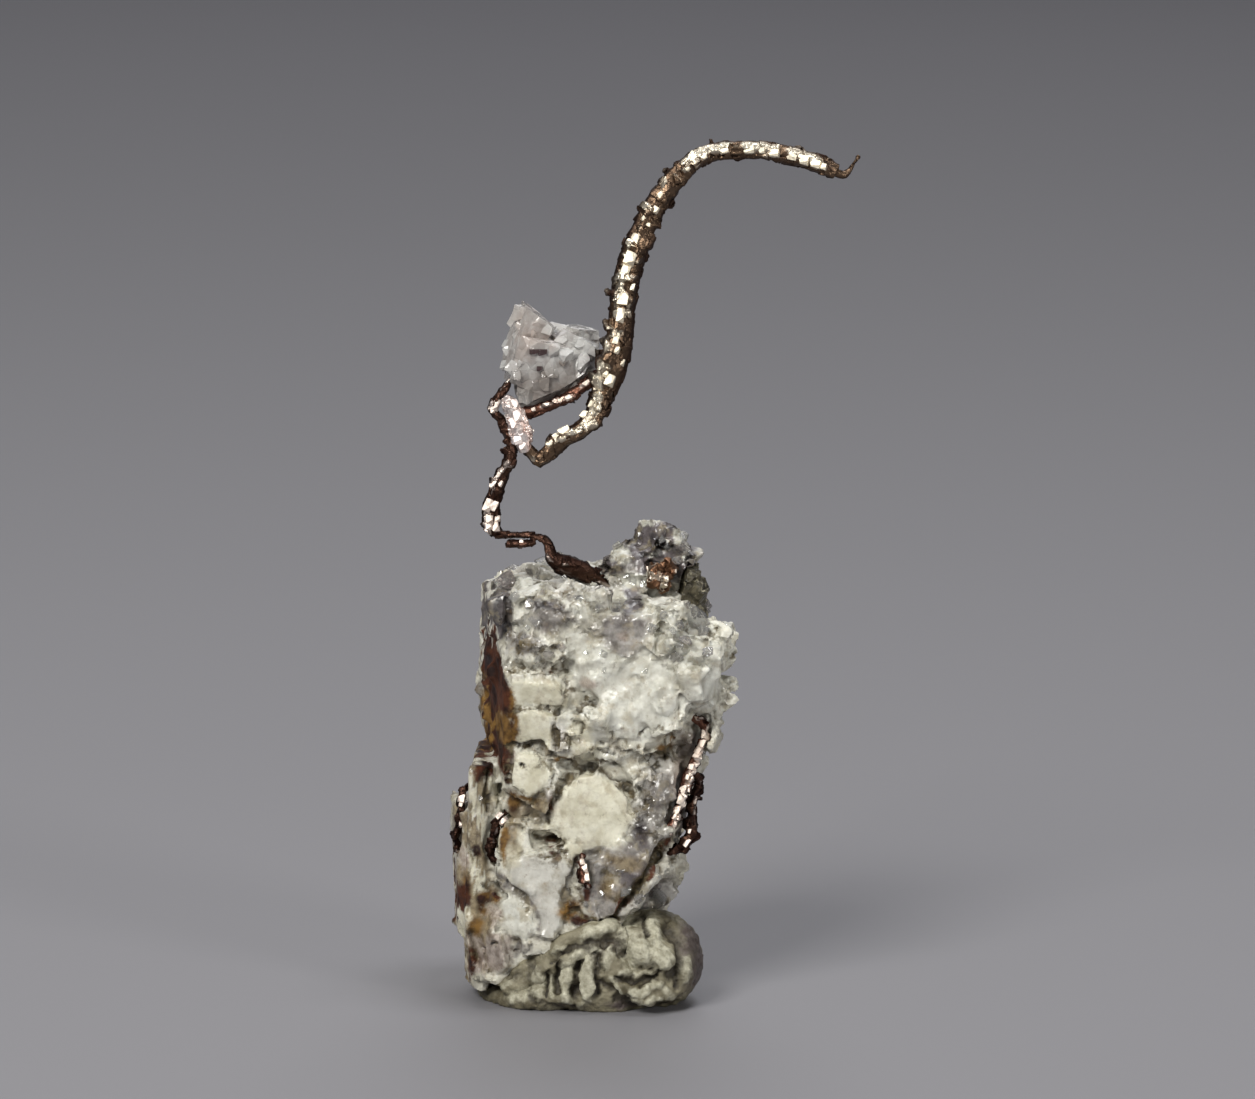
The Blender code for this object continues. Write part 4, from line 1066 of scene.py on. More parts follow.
def drawnLines(points, lines, gaps):
    # how deep and how dark lines leave each place; gaps thins every line that isn't unbroken
    depth, dirt = np.zeros(len(points)), np.zeros(len(points))
    for stops, half, deep, dark, unbroken in lines:
        share = gaps + (1 - gaps) * unbroken
        away = awayFromStops(points, stops) / (half * (0.6 + 0.5 * share))
        depth = np.maximum(depth, deep * share * np.exp(-away ** 2))
        dirt = np.maximum(dirt, dark * share * smoothStep(1.7, 0.3, away))
    return depth, dirt


def pressFlats(body):
    # draws the points inside each outline to their own mean plane, a little proud of it
    points = pointsOf(body.data)
    drawn = wobbled(points, 0.1, 1.3, seed=61)
    for name, (share, proud, slant) in quartzLook["flats"].items():
        mask = insideOutlines(drawn, [patches[name]], 0.3) * onFront(points)
        inside = np.flatnonzero(mask > 0.6)
        if len(inside) < 20:
            continue
        centre = points[inside].mean(axis=0)
        fit = (points - centre)[:, [0, 2]]
        slope = np.linalg.lstsq(fit[inside], points[inside, 1] - centre[1], rcond=None)[0] * slant
        plane = centre[1] + fit @ slope - proud
        mask = mask * smoothStep(1.8, 1.2, np.abs(plane - points[:, 1]))
        points[:, 1] += (plane - points[:, 1]) * mask * share
    setPoints(body.data, points)


def pressSeams(body, worn):
    # presses the seams in, cracks the rest into rough cells, and returns how much dirt lies in each place
    points = pointsOf(body.data)
    facing = onFront(points)
    gaps = 0.3 + 0.7 * smoothStep(0.25, 0.65, softNoise(points, 1.7, seed=63))
    depth, dirt = drawnLines(wobbled(points, 0.1, 1.3, seed=61), seams, gaps)
    depth, dirt = np.maximum(depth, 0.35 * softSpots(points, pits)) * facing, dirt * facing
    for size, half, deep, dark, seed in quartzLook["cracks"]:
        border = nearestCells(wobbled(points, 0.2 * size, 1.2 * size, seed), size, seed + 1)[2]
        crack = smoothStep(0.45, 0.75, softNoise(points, 2.2 * size, seed + 2)) * (1 - worn)
        depth = np.maximum(depth, deep * crack * np.exp(-(border / half) ** 2))
        dirt = np.maximum(dirt, dark * crack * smoothStep(1.8, 0.4, border / half))
    setPoints(body.data, points - normalsOf(body.data) * depth[:, None])
    return dirt


def quartzMasks(body, dirt, worn):
    # stains are drawn with wandering edges, and on the left flank with upright streaks
    points = pointsOf(body.data)
    facing = onFront(points)
    drawn = wobbled(points, 0.12, 2.4, seed=62)
    wander = (softNoise(points * (0.3, 1, 0.3), 1.8, seed=65) - 0.5) * smoothStep(-4.2, -2.4, points[:, 1])
    drawn[:, 2] += 3.2 * wander * smoothStep(-5.6, -6.6, points[:, 0])
    streaks = softNoise(points * (1, 1, 0.16), 0.55, seed=64)
    slabs = insideOutlines(drawn, [patches["leftSlabs"]], 0.6) * facing
    _, maroon = drawnLines(drawn, maroonSeams, 1.0)
    extra = {
        "grime": dirt,
        "glass": 0.6 * smoothStep(22.9, 24.2, points[:, 2]),
        "umber": slabs * smoothStep(0.3, 0.55, streaks),
        "cream": slabs * smoothStep(0.38, 0.22, streaks),
        "rust": maroon * facing,
    }
    band = insideOutlines(drawn, [patches["slabBand"]], 0.4) * facing
    upper = smoothStep(19.6, 20.8, points[:, 2] + 0.5 * smoothStep(-2.6, -2.0, points[:, 0]) - 0.5) * facing
    pale = softSpots(wobbled(points, 0.05, 0.8, seed=67), knobPale) * facing
    for name in ballMasks:
        drawnPatches = insideOutlines(drawn, [patches[patch] for patch in patchMasks.get(name, ())], 0.45)
        mask = np.maximum(drawnPatches, softSpots(drawn, spotMasks[name])) * facing
        mask += softBalls(points, *ballMasks[name]) * (1 - facing)
        mask *= 1 - band * (name in ("white", "cream"))
        mask = np.where(name == "white", np.maximum(mask, pale), mask * (1 - pale))
        storeMask(body.data, name, np.maximum(mask, extra.get(name, 0)))
    # cavity marks the hollows that the material darkens: settled grime and painted shade
    narrow, broad = cavityOf(body, 10, 0.24) - 0.5, cavityOf(body, 60, 0.9) - 0.5
    storeMask(body.data, "cavity", 0.5 + 0.6 * (narrow + broad) * (1 - 0.5 * upper))
    storeMask(body.data, "sugar", 1 - smoothStep(0.2, 0.75, worn))
    storeMask(body.data, "pitShade", softSpots(wobbled(points, 0.05, 0.6, seed=68), pits) * facing)


def pushOutFlank(body):
    # the left flank stands out above the slabs and below the rim
    points = pointsOf(body.data)
    flank = smoothStep(-5.8, -6.8, points[:, 0]) * smoothStep(14.2, 15.4, points[:, 2])
    points[:, 0] -= quartzLook["flankBulge"] * flank * smoothStep(25.2, 24.0, points[:, 2])
    setPoints(body.data, points)


def quartzMatrix():
    body = copyOfNode("quartz_matrix", "quartzMatrix")
    joinInto(body, crystalsOn("quartz_matrix", quartzLook["grains"], blockShapes, seed=21))
    joinInto(body, [placedCopy(plainBlock, *block) for block in quartzLook["whiteBlocks"]])
    applyModifier(body, "REMESH", mode="VOXEL", voxel_size=quartzLook["voxel"] * mm)
    drawIn(body, quartzLook["drawnFrom"])
    pushOutFlank(body)
    points = pointsOf(body.data)
    worn = wornPlaces(points)
    smoothed = smoothedPoints(body, quartzLook["wearRounds"])
    setPoints(body.data, points * (1 - worn[:, None]) + smoothed * worn[:, None])
    share = 1 - (1 - quartzLook["wornShare"]) * smoothStep(0.2, 0.9, worn)
    makeLumpy(body, quartzLook["lumpSize"], quartzLook["lumpRise"])
    breakIntoFacets(body, quartzLook["facetSize"], quartzLook["facetRise"], 22, 0.4 + 0.6 * share)
    breakIntoFacets(body, quartzLook["fineSize"], quartzLook["fineRise"], 23, share)
    pressFlats(body)
    dirt = pressSeams(body, worn)
    keepInside(body)
    quartzMasks(body, dirt, worn)
    finishPiece(body, "quartzMatrix", quartzMaterial(), ["quartz_matrix"])
    bpy.ops.object.shade_smooth_by_angle(angle=math.radians(quartzLook["sharpAngle"]))


print("quartz matrix")
quartzMatrix()


# clear crystals: flat faces and points on the rim, the knob, the right side and the back

clearLook = {
    "tint": rgb(0.62, 0.555, 0.535),
    "transmission": 0.85,
    "roughness": 0.06,
    "grit": 0.00018,
    "blocks": (
        (front, 11, (-5.2, 4.6), (22.4, 24.6), (0.25, 0.5), 0.65, 60),
        (front, 7, (2.4, 4.4), (25.4, 27.2), (0.22, 0.4), 0.6, 60),
        (front, 10, (-0.8, 5.8), (20.6, 22.6), (0.18, 0.36), 0.6, 80),
        (front, 8, (-5.6, -2.6), (20.4, 21.6), (0.2, 0.34), 0.55, 60),
        (front, 6, (-0.6, 2.0), (5.8, 8.8), (0.15, 0.28), 0.6, 70),
        (front, 8, (1.9, 3.4), (5.2, 7.0), (0.3, 0.5), 0.6, 60),
        (right, 8, (-1.0, 4.6), (20.4, 24.6), (0.3, 0.55), 0.8, 50),
        (right, 14, (1.0, 4.6), (16.4, 20.4), (0.3, 0.6), 0.8, 50),
        (left, 12, (-2.0, 4.6), (20.6, 24.4), (0.3, 0.55), 0.85, 30),
        (back, 60, (-6.0, 5.4), (12.0, 24.4), (0.4, 0.9), 0.55, 60),
    ),
    "points": (
        (front, 5, (-5.2, -2.2), (23.4, 24.6), (0.22, 0.34), 0.5, 30),
        (back, 16, (-6.0, 4.4), (20.0, 23.8), (0.4, 0.65), 0.45, 35),
    ),
    # bright crystals, as x, z, half size
    "glints": (
        (0.95, 24.75, 0.24), (1.85, 24.35, 0.22), (0.75, 26.0, 0.2), (-5.38, 23.78, 0.26),
        (-4.24, 24.4, 0.26), (-1.58, 23.53, 0.42), (0.45, 23.45, 0.22), (0.25, 22.95, 0.22),
        (0.08, 22.45, 0.18), (3.05, 23.06, 0.24), (3.64, 22.24, 0.2), (-0.28, 20.72, 0.24),
        (-1.19, 20.67, 0.18), (-0.23, 19.79, 0.18), (2.13, 19.78, 0.16), (4.95, 19.35, 0.14),
        (0.86, 21.25, 0.14), (-6.76, 22.82, 0.2), (-7.17, 12.05, 0.16), (0.43, 25.75, 0.36),
        (-2.61, 24.75, 0.15), (-3.21, 23.78, 0.14), (-1.51, 24.34, 0.15), (1.3, 24.4, 0.3),
        (2.55, 10.6, 0.13), (2.6, 9.3, 0.14), (0.4, 8.75, 0.12), (0.15, 7.8, 0.12), (0.0, 6.9, 0.12),
        (-0.95, 6.25, 0.14), (2.42, 6.35, 0.18), (3.4, 5.95, 0.16), (-4.6, 22.1, 0.14),
    ),
}


def clearCrystals():
    made = crystalsOn("quartz_matrix", clearLook["blocks"], blockShapes, seed=31)
    made += crystalsOn("quartz_matrix", clearLook["points"], pointShapes, seed=32)
    made += brightBlocks(skinOf("quartz_matrix"), clearLook["glints"], seed=33, milk=1.0)
    cluster = joinInto(made[0], made[1:])
    drawIn(cluster, quartzLook["drawnFrom"])
    keepInside(cluster)
    material = clearQuartzMaterial("clearQuartz", clearLook)
    finishPiece(cluster, "clearCrystals", material, smooth=False)


print("clear crystals")
clearCrystals()


# the chip of quartz held in the silver loop

chipLook = {
    "tint": rgb(0.5, 0.45, 0.42),
    "transmission": 0.45,
    "roughness": 0.16,
    "grit": 0.0003,
    "grains": (
        (front, 15, (-6.0, -1.4), (34.9, 39.2), (0.35, 0.7), 0.62, 90),
        (back, 14, (-6.0, -1.4), (34.9, 39.2), (0.35, 0.8), 0.6, 90),
        (left, 5, (-1.4, 1.0), (35.0, 38.4), (0.3, 0.6), 0.6, 90),
        (right, 6, (-1.4, 1.0), (35.0, 37.6), (0.3, 0.6), 0.6, 90),
    ),
    "bright": (
        (-5.5, 39.4, 0.42), (-5.55, 38.8, 0.2), (-4.72, 38.42, 0.18), (-6.2, 37.25, 0.26),
        (-5.8, 36.45, 0.36), (-5.4, 36.75, 0.2), (-3.1, 38.0, 0.32), (-2.0, 37.85, 0.28),
        (-1.7, 38.15, 0.2), (-2.95, 36.9, 0.24), (-4.0, 36.15, 0.24), (-1.95, 36.4, 0.18),
        (-2.4, 37.4, 0.22),
    ),
    # tinted places, as x, z, half width, half height
    "pale": ((-5.4, 39.2, 0.9, 0.9), (-2.4, 37.9, 1.0, 0.5), (-6.0, 37.2, 0.4, 1.2)),
    "warm": ((-5.2, 38.9, 0.9, 0.9), (-4.4, 37.9, 0.9, 0.5)),
    "brown": ((-4.0, 35.6, 1.8, 1.0), (-3.5, 36.6, 1.0, 0.5), (-4.4, 37.1, 0.8, 0.3)),
    # dark blocks across the middle, painted shade standing for hollows, as x, z, half sizes across and up
    "shadedHollows": ((-4.6, 37.48, 0.3, 0.13), (-4.15, 37.44, 0.24, 0.17), (-4.3, 36.5, 0.16, 0.12)),
    # nothing stands above this line, as x and z
    "top": ((-7.0, -5.4, -3.6, -0.5), (40.1, 40.1, 38.75, 38.45)),
}


def quartzChip():
    chip = copyOfNode("quartz_chip", "quartzChip")
    joinInto(chip, crystalsOn("quartz_chip", chipLook["grains"], blockShapes, seed=41))
    points = pointsOf(chip.data)
    points[:, 2] = np.minimum(points[:, 2], np.interp(points[:, 0], *chipLook["top"]))
    setPoints(chip.data, points)
    # dark blocks set a little into the front: painted shade standing for hollows
    shadedHollows = []
    for x, z, across, up in chipLook["shadedHollows"]:
        spot = faceSpot("quartz_chip", front, x, z)[0]
        shadedHollows.append(placedCopy(plainBlock, spot + Vector((0, 0.05, 0)), (across, 0.2, up), (10, 0, 12)))
        fillMask(shadedHollows[-1].data, "slot", 1)
    bright = brightBlocks(skinOf("quartz_chip"), chipLook["bright"], seed=42, spread=0.55, milk=0.35)
    joinInto(chip, shadedHollows + bright)
    keepInside(chip)
    points = wobbled(pointsOf(chip.data), 0.12, 1.2, seed=43)
    for name in ("pale", "warm", "brown"):
        storeMask(chip.data, name, softSpots(points, chipLook[name]))
    material = clearQuartzMaterial("milkyChip", chipLook)
    finishPiece(chip, "quartzChip", material, ["quartz_chip"], smooth=False)


print("quartz chip")
quartzChip()


# silver wires: strands and crystal blocks along a route, fused and broken into facets

wireShape = {
    # steps along a route, and the cubes that the strands are fused with
    "step": 0.1,
    "voxel": 0.055,
    # facets of the surface in two sizes, and how far each tilts
    "facetSize": 0.62,
    "facetRise": 0.11,
    "fineSize": 0.3,
    "fineRise": 0.03,
}
silverTones = {
    # colours of clean crystal, of bronze tarnish and of dirt (on round wires also their painted side
    # shade), then the tones between which it turns clean
    "golden": (rgb(0.95, 0.87, 0.71), rgb(0.18, 0.12, 0.078), rgb(0.026, 0.014, 0.012), 0.46, 0.76),
    "maroon": (rgb(0.96, 0.84, 0.76), rgb(0.085, 0.045, 0.032), rgb(0.018, 0.009, 0.008), 0.64, 0.88),
    "pinkish": (rgb(0.99, 0.9, 0.86), rgb(0.8, 0.63, 0.57), rgb(0.16, 0.09, 0.07), 0.1, 0.45),
    "copper": (rgb(0.98, 0.86, 0.76), rgb(0.19, 0.09, 0.062), rgb(0.022, 0.009, 0.008), 0.54, 0.8),
}
silvers = {name: silverMaterial(name + "Silver", *tones) for name, tones in silverTones.items()}


def smoothRoute(stops, swell=1.0):
    # a smooth path through x, y, z, radius stops, with its own front and side at each point
    stops = np.array(stops) * (1, 1, 1, swell)
    ends = np.vstack([2 * stops[:1] - stops[1:2], stops, 2 * stops[-1:] - stops[-2:-1]])
    runs = []
    for a, b, c, d in zip(ends, ends[1:], ends[2:], ends[3:]):
        steps = max(2, int(np.linalg.norm((c - b)[:3]) / wireShape["step"]))
        t = np.linspace(0, 1, steps, endpoint=False)[:, None]
        square, cube = 2 * a - 5 * b + 4 * c - d, 3 * b - a - 3 * c + d
        runs.append(0.5 * (2 * b + (c - a) * t + square * t ** 2 + cube * t ** 3))
    path = np.vstack([*runs, stops[-1:]])
    ahead = np.gradient(path[:, :3], axis=0)
    ahead /= np.linalg.norm(ahead, axis=1)[:, None]
    toFront = np.array([0.0, -1.0, 0.0]) - ahead * -ahead[:, 1:2]
    toFront /= np.linalg.norm(toFront, axis=1)[:, None]
    length = np.concatenate([[0], np.cumsum(np.linalg.norm(np.diff(path[:, :3], axis=0), axis=1))])
    return {"centre": path[:, :3], "radius": path[:, 3], "ahead": ahead, "front": toFront,
            "side": np.cross(ahead, toFront), "length": length}


def outwardAt(path, phase):
    # unit vectors at an angle round the route: 0 to the front, 90 to its right
    angle = np.radians(phase)
    return np.cos(angle)[:, None] * path["front"] + np.sin(angle)[:, None] * path["side"]


def tubeAlong(points, radii):
    deselectAll()
    bpy.ops.curve.primitive_nurbs_path_add()
    tube = bpy.context.object
    tube.data.splines.clear()
    spline = tube.data.splines.new("POLY")
    spline.points.add(len(points) - 1)
    for spot, place, radius in zip(spline.points, points * mm, radii):
        spot.co = (*place, 1)
        spot.radius = radius
    tube.data.bevel_depth = mm
    tube.data.bevel_resolution = 2
    tube.data.use_fill_caps = True
    tube.location = (0, 0, 0)
    pick(tube)
    bpy.ops.object.convert(target="MESH")
    return bpy.context.object


def strandAlong(path, phase=0, twist=0, reach=0, share=1, span=(0, 1)):
    # winds round the route at reach radii, twist degrees a millimetre, over a span of the route
    part = slice(int(span[0] * len(path["radius"])), max(2, int(span[1] * len(path["radius"]))))
    phases = phase + twist * path["length"]
    points = path["centre"] + outwardAt(path, phases) * (path["radius"] * reach)[:, None]
    return tubeAlong(points[part], (path["radius"] * share)[part])


def blocksAlong(path, spacing, phaseRange, reach, halfShare, seed, span=(0, 1)):
    # crystals that sit across the route like vertebrae
    chance = random.Random(seed)
    made = []
    station = span[0] * path["length"][-1]
    while station < span[1] * path["length"][-1]:
        index = int(np.searchsorted(path["length"], station))
        phase = chance.uniform(*phaseRange)
        outward = outwardAt(path, np.full(len(path["radius"]), phase))[index]
        across = np.cross(path["ahead"][index], outward)
        radius = path["radius"][index]
        axes = Matrix((path["ahead"][index], across, outward)).transposed()
        wobble = Euler([chance.uniform(-0.35, 0.35) for _ in range(3)]).to_matrix()
        half = Vector([radius * share * chance.uniform(0.7, 1.25) for share in halfShare])
        centre = path["centre"][index] + outward * radius * reach
        shape = blockShapes[chance.randrange(len(blockShapes))]
        made.append(placedCopy(shape, centre, half, axes @ wobble))
        station += spacing * radius * chance.uniform(0.7, 1.4)
    return made


def wireMasks(obj, paths, seed, dull, rounded):
    # how clean each crystal is, with a painted highlight on each wire's left side and on its faces toward
    # the front and back, and where dirt has settled between crystals; on a round wire, painted shade
    # darkens its sides and right side
    points = pointsOf(obj.data)
    centres = np.vstack([path["centre"] for path in paths])
    radii = np.concatenate([path["radius"] for path in paths])
    sides = np.vstack([path["side"] for path in paths])
    tree = KDTree(len(centres))
    for index, centre in enumerate(centres):
        tree.insert(centre, index)
    tree.balance()
    nearest = np.array([tree.find(point)[1] for point in points])
    offset = points - centres[nearest]
    relief = np.linalg.norm(offset, axis=1) / radii[nearest]
    rightward = (offset * sides[nearest]).sum(axis=1) / radii[nearest]
    cell = nearestCells(points, wireShape["facetSize"], seed)[1][:, 0]
    forward = np.abs(offset[:, 1]) / np.maximum(np.linalg.norm(offset, axis=1), 1e-6)
    # the left side, toward the key light, is made cleaner and brighter: a painted highlight
    keyLitSide = smoothStep(0.6, -0.5, rightward)
    tone = 0.25 * smoothStep(0.8, 1.15, relief) + 0.35 * cell + 0.32 * keyLitSide - 0.12
    # faces toward the front and back are brighter and the sides duller: painted light and shade
    tone += 0.25 * smoothStep(0.35, 0.85, forward)
    for x, z, wide, tall, drop in dull:
        tone -= drop * smoothStep(1.2, 0.8, np.hypot((points[:, 0] - x) / wide, (points[:, 2] - z) / tall))
    storeMask(obj.data, "tone", np.minimum(tone, 0.93))
    hollow = smoothStep(0.62, 0.42, relief) * rounded + 0.8 * smoothStep(0.56, 0.75, cavityOf(obj, 8, 0.16))
    # the sides and right side of a round wire are darkened as if with dirt: painted shade
    paintedSideShade = np.maximum(smoothStep(0.72, 0.36, forward), 0.8 * smoothStep(0.35, 0.75, rightward))
    storeMask(obj.data, "notch", np.maximum(hollow, 0.85 * paintedSideShade * rounded))


def wireParts(path, branches, look):
    # strands wound round the route, its side branches, and the crystals across it
    parts = [strandAlong(path, *strand) for strand in look["strands"]]
    parts += [strandAlong(branch) for branch in branches]
    for blocks in look["blocks"]:
        parts += blocksAlong(path, *blocks)
    return parts


def silverWire(name, look):
    path = smoothRoute(look["route"], look.get("swell", 1.0))
    branches = [smoothRoute(stops) for stops in look.get("branches", ())]
    parts = wireParts(path, branches, look)
    wire, seed = joinInto(parts[0], parts[1:]), look["seed"]
    if "flattened" in look:
        middle, share = look["flattened"]
        points = pointsOf(wire.data)
        points[:, 1] = middle + (points[:, 1] - middle) * share
        setPoints(wire.data, points)
    applyModifier(wire, "REMESH", mode="VOXEL", voxel_size=wireShape["voxel"] * mm)
    breakIntoFacets(wire, wireShape["facetSize"], wireShape["facetRise"], seed)
    breakIntoFacets(wire, wireShape["fineSize"], wireShape["fineRise"], seed + 1)
    applyModifier(wire, "DECIMATE", ratio=min(1.0, look["triangles"] / (2 * len(wire.data.polygons))))
    keepInside(wire)
    wireMasks(wire, [path, *branches], seed, look.get("dull", ()), rounded="flattened" not in look)
    centres = np.vstack([route["centre"] for route in (path, *branches)])
    ahead = np.vstack([route["ahead"] for route in (path, *branches)])

    def alongWire(spot):
        return Vector(ahead[np.linalg.norm(centres - spot, axis=1).argmin()])

    skin = BVHTree.FromPolygons(
        [Vector(point) for point in pointsOf(wire.data)], [face.vertices[:] for face in wire.data.polygons])
    joinInto(wire, brightBlocks(skin, look["bright"], seed, 0.14, alongWire, tone=1.0, notch=0.0))
    keepInside(wire)
    finishPiece(wire, name, silvers[look["silver"]], look.get("nodes", ()), smooth=False)


# In each wire, the route and branches are x, y, z and radius at each stop. Strands are phase, twist, reach,
# share and span. Blocks are spacing, range of phase, reach, half sizes, seed and span. Dull places are x,
# z, half width, half height and how much duller, and bright crystals are x, z and half size.
print("silver wires")

curlLook = {
    "silver": "golden",
    "slot": "bright_silver",
    "nodes": ["curl_wire"],
    "triangles": 46000,
    "seed": 3,
    "swell": 1.1,
    "route": (
        (-0.7, -2.05, 34.86, 0.66), (-0.45, -1.95, 35.91, 0.84), (-0.1, -1.85, 37.06, 0.9),
        (0.15, -1.75, 38.16, 0.86), (0.3, -1.6, 39.76, 0.8), (0.52, -1.35, 41.5, 0.8),
        (1.0, -1.05, 43.2, 0.76), (1.82, -0.65, 45.15, 0.72), (2.75, -0.25, 46.7, 0.7),
        (3.85, 0.15, 47.95, 0.66), (4.95, 0.5, 48.7, 0.62), (6.6, 0.8, 48.96, 0.58), (8.3, 1.0, 48.91, 0.6),
        (10.05, 1.1, 48.56, 0.58), (11.5, 1.15, 48.11, 0.56), (12.35, 1.15, 47.76, 0.5),
    ),
    "branches": (
        (
            (12.0, 1.1, 48.36, 0.24), (12.45, 1.15, 47.71, 0.26), (13.0, 1.2, 47.76, 0.17),
            (13.65, 1.2, 48.76, 0.1),
        ),
    ),
    "strands": (
        (0, 0, 0, 0.8),
        (90, 4, 0.48, 0.5, (0, 0.62)),
        (-60, 14, 0.46, 0.5, (0, 0.3)),
        (180, 9, 0.45, 0.52),
        (-80, 3, 0.5, 0.5, (0.6, 1)),
        (45, -5, 0.48, 0.5, (0.6, 1)),
    ),
    "blocks": (
        (0.95, (-75, 5), 0.48, (0.46, 0.66, 0.5), 51, (0.04, 0.42)),
        (0.9, (-70, 70), 0.53, (0.46, 0.48, 0.42), 52, (0.4, 0.66)),
        (1.2, (110, 250), 0.47, (0.46, 0.5, 0.45), 53, (0.02, 0.95)),
        (1.6, (-60, 40), 0.56, (0.7, 0.46, 0.38), 54, (0.74, 0.99)),
        (2.8, (-120, -80), 0.98, (0.24, 0.24, 0.24), 55, (0.1, 0.7)),
    ),
    "dull": (
        (12.45, 48.1, 0.55, 0.9, 0.8), (13.2, 48.0, 0.7, 1.2, 0.6), (1.2, 43.4, 0.5, 0.5, 0.5),
        (0.9, 41.3, 0.5, 0.4, 0.4), (0.6, 39.2, 0.8, 0.35, 0.5), (2.0, 45.2, 1.3, 1.5, 0.25),
        (3.2, 47.1, 1.1, 1.1, 0.2), (9.3, 48.7, 0.35, 0.6, 0.4), (6.6, 48.8, 0.5, 0.7, 0.3),
        (0.2, 37.2, 0.9, 0.35, 0.4), (0.0, 36.8, 1.0, 1.6, 0.12),
    ),
    "bright": (
        (0.95, 43.9, 0.26), (0.72, 42.9, 0.32), (0.5, 42.2, 0.3), (0.38, 40.6, 0.3), (0.25, 39.72, 0.24),
        (0.05, 38.4, 0.22), (0.07, 37.72, 0.16), (-0.28, 36.0, 0.28), (-0.5, 36.4, 0.16),
        (2.35, 46.5, 0.16), (2.08, 45.62, 0.18), (1.73, 44.8, 0.13), (3.85, 47.95, 0.14),
        (1.42, 45.12, 0.12), (4.78, 48.6, 0.13), (5.92, 48.95, 0.15), (7.26, 49.0, 0.22),
        (8.05, 48.98, 0.18), (8.7, 48.85, 0.24), (9.75, 48.7, 0.22), (10.45, 48.5, 0.27),
        (11.1, 48.3, 0.22), (11.55, 48.15, 0.2), (0.9, 41.3, 0.12), (0.4, 37.0, 0.14),
    ),
}
silverWire("curlWire", curlLook)

loopLook = {
    "silver": "golden",
    "slot": "bright_silver",
    "nodes": ["loop_wire"],
    "triangles": 14000,
    "seed": 4,
    "swell": 1.12,
    "route": (
        (-4.4, -2.1, 31.06, 0.42), (-3.6, -2.3, 31.76, 0.5), (-2.75, -2.5, 32.56, 0.56),
        (-1.9, -2.6, 33.06, 0.56), (-1.25, -2.5, 33.71, 0.62), (-0.85, -2.2, 34.66, 0.68),
        (-0.6, -2.0, 35.56, 0.6),
    ),
    "branches": (((-4.2, -2.15, 31.21, 0.38), (-4.75, -2.1, 31.76, 0.36), (-5.3, -2.2, 32.56, 0.34)),),
    "strands": ((0, 0, 0, 0.8), (-70, 25, 0.46, 0.52), (110, 25, 0.46, 0.52)),
    "blocks": ((1.0, (-90, 60), 0.58, (0.55, 0.5, 0.42), 61, (0.08, 1)),),
    "dull": ((-4.4, 31.6, 1.4, 1.2, 0.25), (-2.6, 32.6, 1.2, 0.9, 0.15)),
    "bright": (
        (-0.4, 35.75, 0.24), (-0.95, 35.6, 0.22), (-2.4, 33.55, 0.24), (-1.65, 34.0, 0.22),
        (-3.2, 32.7, 0.22), (-2.8, 33.05, 0.22), (-3.6, 32.3, 0.16), (-1.3, 34.6, 0.14),
    ),
}
silverWire("loopWire", loopLook)

rootLook = {
    "silver": "maroon",
    "slot": "dark_silver",
    "nodes": ["root_wire"],
    "triangles": 22000,
    "seed": 5,
    "swell": 1.1,
    "route": (
        (0.6, -1.1, 23.56, 0.3), (-0.7, -1.6, 24.46, 0.42), (-1.7, -2.0, 24.91, 0.66),
        (-2.65, -2.2, 25.21, 0.6), (-3.3, -2.3, 25.66, 0.4), (-3.65, -2.2, 26.55, 0.27),
        (-4.5, -2.1, 26.9, 0.22), (-5.5, -1.9, 26.86, 0.23), (-6.35, -1.8, 26.88, 0.34),
        (-6.75, -1.8, 27.26, 0.5), (-6.9, -1.9, 28.06, 0.52), (-6.75, -2.0, 28.96, 0.46),
        (-6.45, -2.0, 29.86, 0.48), (-6.1, -1.9, 30.66, 0.46), (-5.8, -1.9, 31.56, 0.46),
        (-5.95, -1.9, 32.5, 0.34), (-6.35, -1.85, 33.4, 0.28), (-6.8, -1.8, 33.95, 0.28),
        (-6.72, -1.75, 34.55, 0.28), (-6.25, -1.7, 35.2, 0.24), (-5.95, -1.6, 35.75, 0.14),
    ),
    "branches": (((-4.3, -2.2, 26.55, 0.16), (-4.9, -2.3, 26.4, 0.24), (-5.95, -2.2, 26.4, 0.22)),),
    "strands": ((0, 0, 0, 0.74), (-40, 30, 0.48, 0.5), (140, 30, 0.48, 0.5)),
    "blocks": (
        (1.15, (-90, 40), 0.58, (0.55, 0.55, 0.46), 71, (0.5, 0.98)),
        (1.6, (-180, 180), 0.55, (0.5, 0.45, 0.4), 72, (0.05, 0.5)),
    ),
    "dull": ((-2.4, 25.1, 0.9, 0.35, -0.1), (-5.0, 26.65, 1.5, 0.6, 0.35), (-6.2, 33.6, 0.9, 2.2, 0.25)),
    "bright": (
        (-7.05, 28.62, 0.22), (-6.72, 28.6, 0.2), (-6.95, 27.85, 0.2), (-6.6, 27.45, 0.22),
        (-6.98, 27.42, 0.18), (-6.5, 27.85, 0.14), (-6.78, 29.85, 0.18), (-6.4, 29.9, 0.15),
        (-6.5, 30.35, 0.12), (-6.72, 34.35, 0.2), (-6.9, 34.1, 0.14), (-6.3, 28.75, 0.14),
        (-5.1, 26.6, 0.1),
    ),
}
silverWire("rootWire", rootLook)

